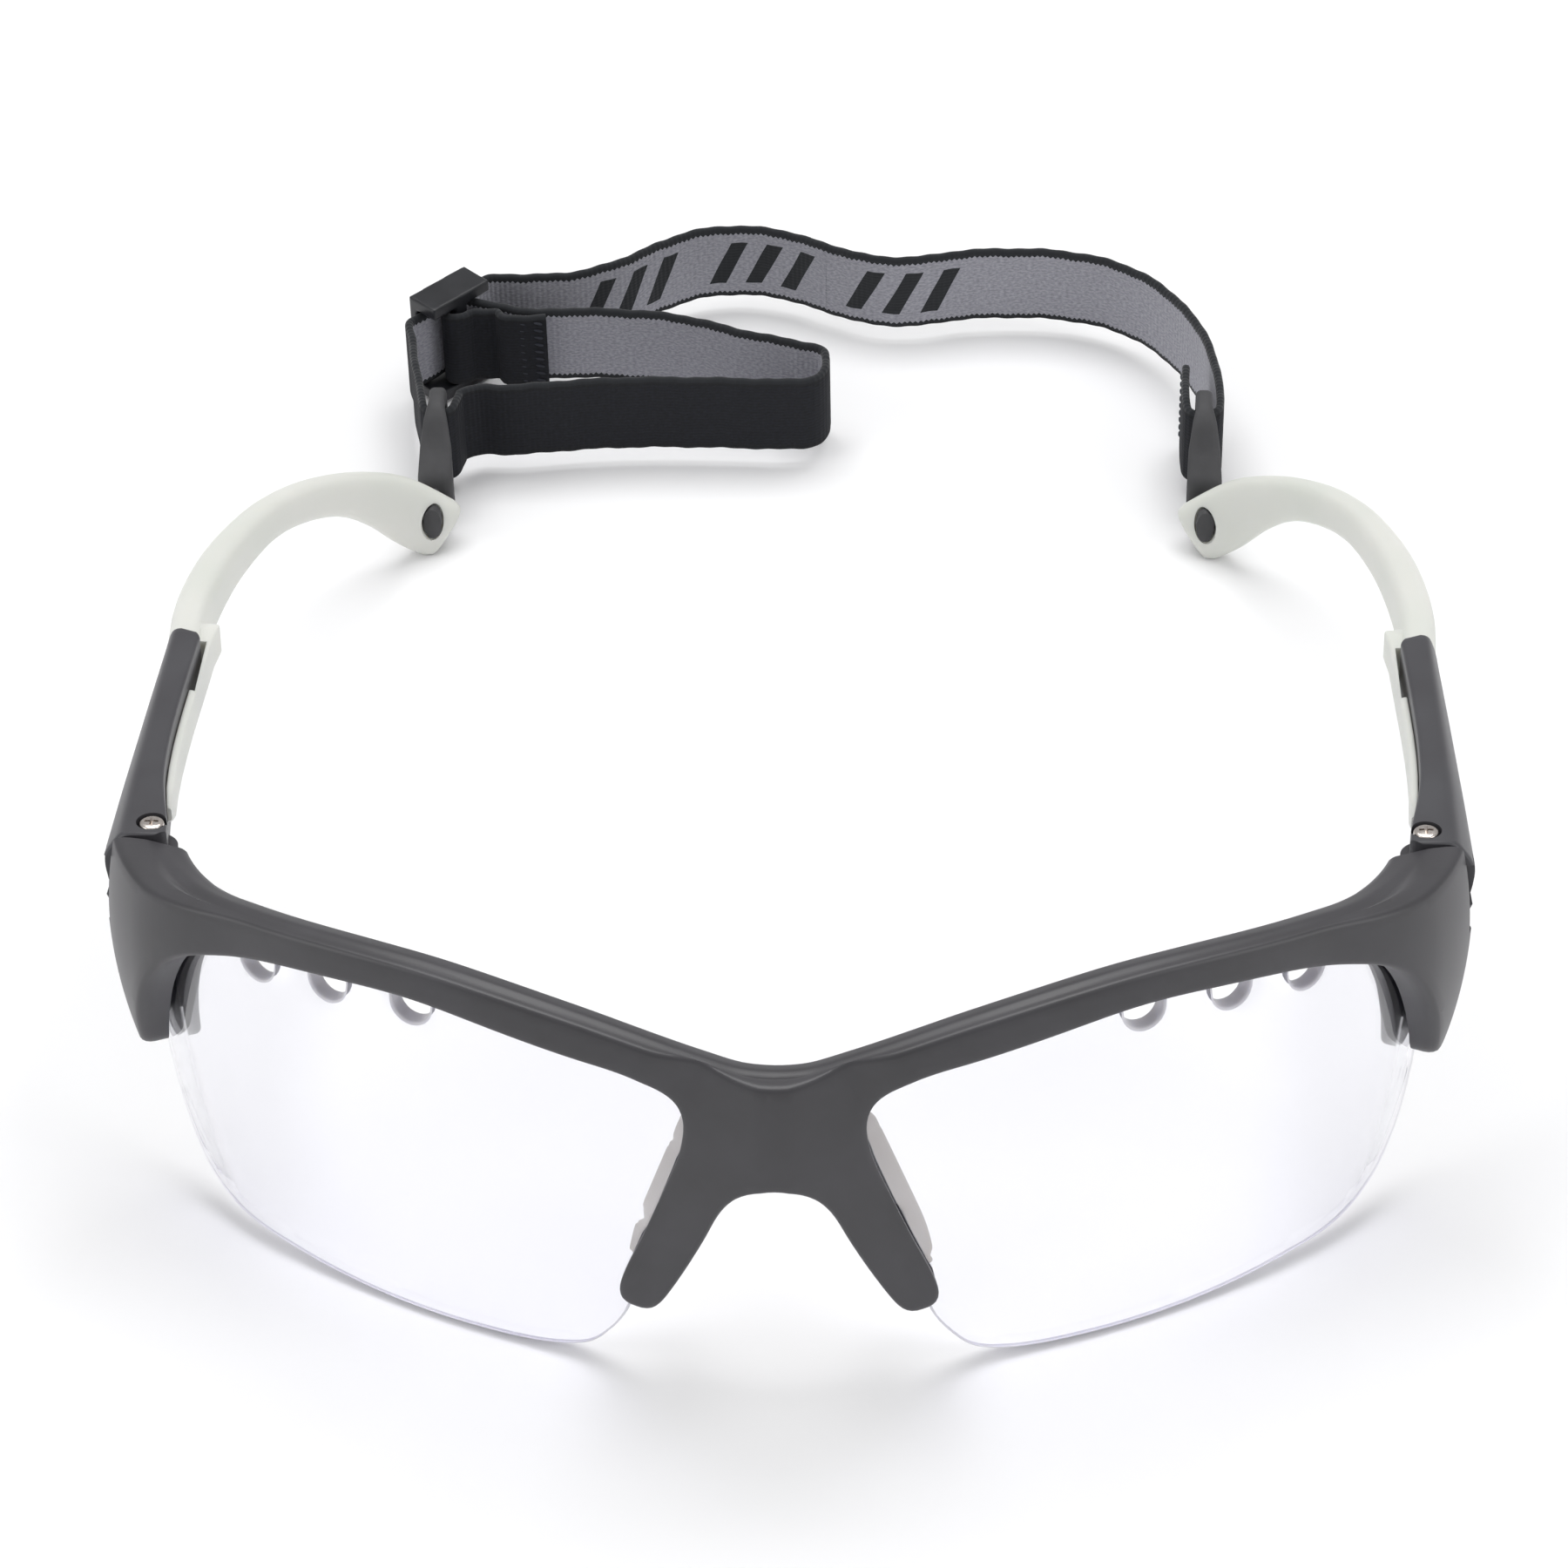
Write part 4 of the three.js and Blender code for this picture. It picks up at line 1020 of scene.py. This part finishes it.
# %% Knit materials
def knit(name, tones, selvedge, sheen, bars):
    material, tree, shader = start_material(name, Roughness=0.88, Sheen_Weight=sheen, Sheen_Roughness=0.5)
    cloth = add_node(tree, "ShaderNodeUVMap", {"uv_map": "webbing_mm"}).outputs[0]
    split = add_node(tree, "ShaderNodeSeparateXYZ", Vector=cloth)
    along, across = split.outputs["X"], split.outputs["Y"]

    def maths(kind, a, b=0.0, c=0.0):
        return add_node(tree, "ShaderNodeMath", {"operation": kind}, _0=a, _1=b, _2=c).outputs[0]

    stretched = add_node(tree, "ShaderNodeMapping", Vector=cloth, Scale=(1.0, 2.2, 1.0)).outputs[0]
    yarn = add_node(tree, "ShaderNodeTexNoise", Vector=stretched, Scale=1.9, Detail=3.0)
    ramp = add_node(tree, "ShaderNodeValToRGB", Fac=yarn.outputs["Fac"])
    ramp.color_ramp.elements[0].position, ramp.color_ramp.elements[1].position = 0.36, 0.64
    for element, colour in zip(ramp.color_ramp.elements, tones):
        element.color = linear(colour)
    colour = ramp.outputs["Color"]
    tooth = maths("PINGPONG", along, 0.35)
    from_edge = maths("PINGPONG", across, STRAP_WIDE / 2)
    dark = maths("LESS_THAN", from_edge, maths("MULTIPLY_ADD", tooth, 0.9, 0.75))
    if bars:
        slanted = maths("ADD", maths("MULTIPLY_ADD", across, 0.5, along), 14.0)
        on_bar = maths("LESS_THAN", maths("FLOORED_MODULO", slanted, 5.0), 2.3)
        group = maths("LESS_THAN", maths("FLOORED_MODULO", slanted, 20.0), 14.9)
        middle = maths("GREATER_THAN", from_edge, 2.3)
        printed = add_node(tree, "ShaderNodeAttribute", {"attribute_name": "patterned"}).outputs["Fac"]
        bar = maths("MULTIPLY", maths("MULTIPLY", on_bar, middle), maths("MULTIPLY", group, printed))
        dark = maths("MAXIMUM", dark, bar)
    mixed = add_node(tree, "ShaderNodeMix", {"data_type": "RGBA"}, _0=dark, _6=colour, _7=linear(selvedge))
    tree.links.new(mixed.outputs[2], shader.inputs["Base Color"])
    ribs = maths("SINE", maths("MULTIPLY", along, 2 * math.pi / 0.7))
    courses = maths("SINE", maths("MULTIPLY", across, 2 * math.pi / 0.45))
    height = maths("MULTIPLY_ADD", ribs, 0.5, maths("MULTIPLY_ADD", courses, 0.25, yarn.outputs["Fac"]))
    bump(tree, shader, height, 0.06, 0.6)
    return material


KNIT_GREY = knit("knitted_elastic_grey", ("#83838b", "#9f9fa7"), "#14171c", 0.15, True)
KNIT_NAVY = knit("knitted_elastic_navy", ("#07090f", "#0e111b"), "#0c0e13", 0.0, False)
THREAD = plain_moulding("polyester_sewing_thread", ("#20232c", "#2b2f3a"), 0.7, 0.2, 0.02)

# %% [markdown]
# ## The strap's path
#
# The strap is one length: a short tail sewn at the right connector, the run behind the head, through
# the slider to the left connector's bar, a loop back behind the head, and through the slider to a sewn
# tab. It is drawn as four ribbons, because each may follow only one moving body. The left side of travel
# is the grey face and the right side is the navy one.

# %% Routes
def bar_turn(x):
    angle = np.linspace(math.pi, 2 * math.pi, 7)
    return [(x + 2.1 * math.cos(a), BAR_Y + 2.1 * math.sin(a)) for a in angle]


BACK_RIGHT = [(46.8, 127), (46.6, 122.5), *bar_turn(BAR_X), (51, 122.5), (50.5, 128), (49.1, 135),
              (46.2, 141.6), (42.9, 146.4), (38.9, 149.9), (35, 151.8), (28.9, 153.2), (18.6, 153),
              (11.7, 151.4), (6.3, 151.6), (0, 154.3)]
BACK_LEFT = [(0, 154.3), (-5.5, 157.3), (-11.8, 158.6), (-17.9, 157.5), (-21.9, 155), (-28, 150.2),
             (-33.5, 147.6), (-38.5, 147), *[at_slider(along, 0) for along in (-7.5, -4, 4, 6.5)],
             (-53.4, 132.5), (-52.8, 128), (-51.8, 123.5), *bar_turn(-BAR_X), (-46.3, 120.75)]
LOOP_FRONT = [(-46.3, 120.75), (-44, 121.9), (-40, 121.9), (-30.2, 123.2), (-22.3, 123.7), (-12.3, 123.6),
              (-4, 123.4), (-1, 124.1), (0.3, 126), (0.5, 128.4)]
SLIDER_WEAVE = [(-4.2, 5.9), (-3, 3.8), (-2.6, 2.5), (-1.8, 1.5), (-0.6, 1.22), (1, 1.22), (1.9, 1.7),
                (2.2, 2.5), (1.9, 3.4), (0.9, 3.95), (-0.7, 4.15), (-1.6, 5), (-2.9, 6.6)]
LOOP_RETURN = [(0.5, 128.4), (0.1, 130.4), (-3, 131.9), (-9.5, 134), (-19.1, 137.8), (-27, 139), (-34, 139.2),
               (-38.2, 138.9), *[at_slider(*place) for place in SLIDER_WEAVE], (-42, 137.6), (-38, 137.6),
               (-36.4, 137.8)]


def webbing_section():
    """(across the thickness, up the width) round the strap, grey side first, with rounded edges."""
    half, wide = STRAP_THICK / 2, STRAP_WIDE
    face = [(half, v) for v in np.linspace(0.5, wide - 0.5, 10)]
    turn = np.linspace(0.25, math.pi - 0.25, 6)
    top = [(half * math.cos(a), wide - 0.5 + 0.5 * math.sin(a)) for a in turn]
    upper = face + top
    return np.array(upper + [(-n, wide - v) for n, v in upper])


def ribbon(name, route, u_start=0.0):
    path = catmull(route, 0.45)
    run = np.concatenate(([0], np.cumsum(np.linalg.norm(np.diff(path, axis=0), axis=1))))
    run += u_start if u_start >= 0 else -run[-1]
    tangent = np.gradient(path, axis=0)
    tangent /= np.linalg.norm(tangent, axis=1)[:, None]
    left = np.column_stack((-tangent[:, 1], tangent[:, 0]))
    section = webbing_section()
    count = len(section)
    rings = []
    for place, side, u in zip(path, left, run):
        wave = 0.07 * math.sin(u * 0.8) + 0.05 * math.sin(u * 2.1)
        flat = place + section[:, :1] * side
        rings.append(np.column_stack((flat, STRAP_LOW + section[:, 1] + wave)))
    made = loft(name, rings, KNIT_GREY, shifted, 60)
    made.data.materials.append(KNIT_NAVY)
    assert len(made.data.vertices) == len(rings) * count + 2
    along = np.concatenate((np.repeat(run, count), (run[0], run[-1])))
    across = np.concatenate((np.tile(section[:, 1], len(rings)), (STRAP_WIDE / 2, STRAP_WIDE / 2)))
    corners = np.zeros(len(made.data.loops), np.int32)
    made.data.loops.foreach_get("vertex_index", corners)
    layer = made.data.uv_layers.new(name="webbing_mm")
    places = np.column_stack((along[corners], across[corners])).ravel()
    layer.data.foreach_set("uv", places.astype(np.float32))
    grey_side = np.array([k % count < count // 2 for k in range(len(made.data.polygons))])
    made.data.polygons.foreach_set("material_index", np.where(grey_side, 0, 1).astype(np.int32))
    return made, along + across / 2


def mark_pattern(made, slanted, low, high):
    """Marks where the knitted-in bars show, between two lengths measured along the slanted bars."""
    marked = made.data.attributes.new("patterned", "FLOAT", "POINT")
    marked.data.foreach_set("value", ((slanted > low) & (slanted < high)).astype(np.float32))

# %% [markdown]
# Each ribbon is laid out where the strap rests and is baked in place. It is hung on no moving body,
# and no part of it blends towards the connector or the slider.

# %% Make the strap
def make_strap(node, route, u_start=0.0, patterned=(0, 0)):
    made, slanted = ribbon(f"{node}_webbing", route, u_start)
    mark_pattern(made, slanted, *patterned)
    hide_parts(node)
    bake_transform(made)
    print(made.name, len(made.data.polygons), "faces")
    return made


make_strap("strap_back_right", BACK_RIGHT, -1, (-16.5, 9))
make_strap("strap_back_left", BACK_LEFT, 0, (-1, 39.5))
make_strap("strap_loop_front", LOOP_FRONT)
make_strap("strap_loop_return", LOOP_RETURN)

# %% [markdown]
# The seams are rows of short stitches. One node group lays a row: it takes the count, the first place,
# the step, the stitch's size and turn, and a seed that makes each stitch lie a little differently.

# %% Stitch rows by geometry nodes
def stitch_group():
    group = bpy.data.node_groups.new("stitch_row", "GeometryNodeTree")
    face = group.interface
    kinds = (("Count", "Int"), ("First", "Vector"), ("Step", "Vector"), ("Length", "Float"),
             ("Thread", "Float"), ("Turn", "Vector"), ("Seed", "Int"), ("Material", "Material"))
    for name, kind in kinds:
        face.new_socket(name=name, in_out="INPUT", socket_type=f"NodeSocket{kind}")
    face.new_socket(name="Geometry", in_out="OUTPUT", socket_type="NodeSocketGeometry")
    given = add_node(group, "NodeGroupInput").outputs
    row = add_node(group, "GeometryNodeMeshLine", Count=given["Count"], Start_Location=given["First"],
                   Offset=given["Step"])
    stitch = add_node(group, "GeometryNodeMeshUVSphere", Segments=10, Rings=8, Radius=1.0)
    slim = add_node(group, "ShaderNodeCombineXYZ", X=given["Length"], Y=given["Thread"], Z=given["Thread"])
    stray = add_node(group, "FunctionNodeRandomValue", {"data_type": "FLOAT_VECTOR"}, Seed=given["Seed"])
    stray.inputs[0].default_value, stray.inputs[1].default_value = (-0.06,) * 3, (0.06,) * 3
    turn = add_node(group, "ShaderNodeVectorMath", {"operation": "ADD"},
                    _0=given["Turn"], _1=stray.outputs[0])
    laid = add_node(group, "GeometryNodeInstanceOnPoints", Points=row.outputs[0], Instance=stitch.outputs[0],
                    Rotation=turn.outputs[0], Scale=slim.outputs[0])
    real = add_node(group, "GeometryNodeRealizeInstances", Geometry=laid.outputs[0])
    painted = add_node(group, "GeometryNodeSetMaterial", Geometry=real.outputs[0], Material=given["Material"])
    output = add_node(group, "NodeGroupOutput")
    group.links.new(painted.outputs[0], output.inputs["Geometry"])
    return group


STITCHES = stitch_group()


def stitch_row(name, first, turn, seed):
    made = add_object(name, bpy.data.meshes.new(name))
    step = made.modifiers.new("stitches", "NODES")
    step.node_group = STITCHES
    values = {"Count": 9, "First": [v / 1000 for v in shifted([first])[0]], "Step": (0, 0, 0.00112),
              "Length": 0.00062, "Thread": 0.00017, "Turn": turn, "Seed": seed, "Material": THREAD}
    for item in STITCHES.interface.items_tree:
        if item.in_out == "INPUT":
            step[item.identifier] = values[item.name]
    settle(made)
    made.data.shade_smooth()
    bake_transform(made)
    return made


stitch_row("tab_seam_near", (-37.4, 137.12, 3.2), (0, 0.25, 0), 3)
stitch_row("tab_seam_far", (-39.6, 137.1, 3.2), (0, 0.25, 0), 4)
stitch_row("tail_seam", (46.2, 125.6, 3.2), (0.25, 0, math.pi / 2), 5)

# %% [markdown]
# The table is a sheet of pale laminate. It only catches the soft shadows under the lenses, the tips and
# the strap, and it must stay near white.

laminate, laminate_tree, laminate_shader = start_material("pale_laminate", IOR=1.4)
slow = mottled(laminate_tree, laminate_shader, object_place(laminate_tree), ("#f4f4f5", "#f7f7f8"), 60.0)
rough_between(laminate_tree, laminate_shader, slow.outputs["Fac"], 0.55, 0.65)
table.data.materials.append(laminate)
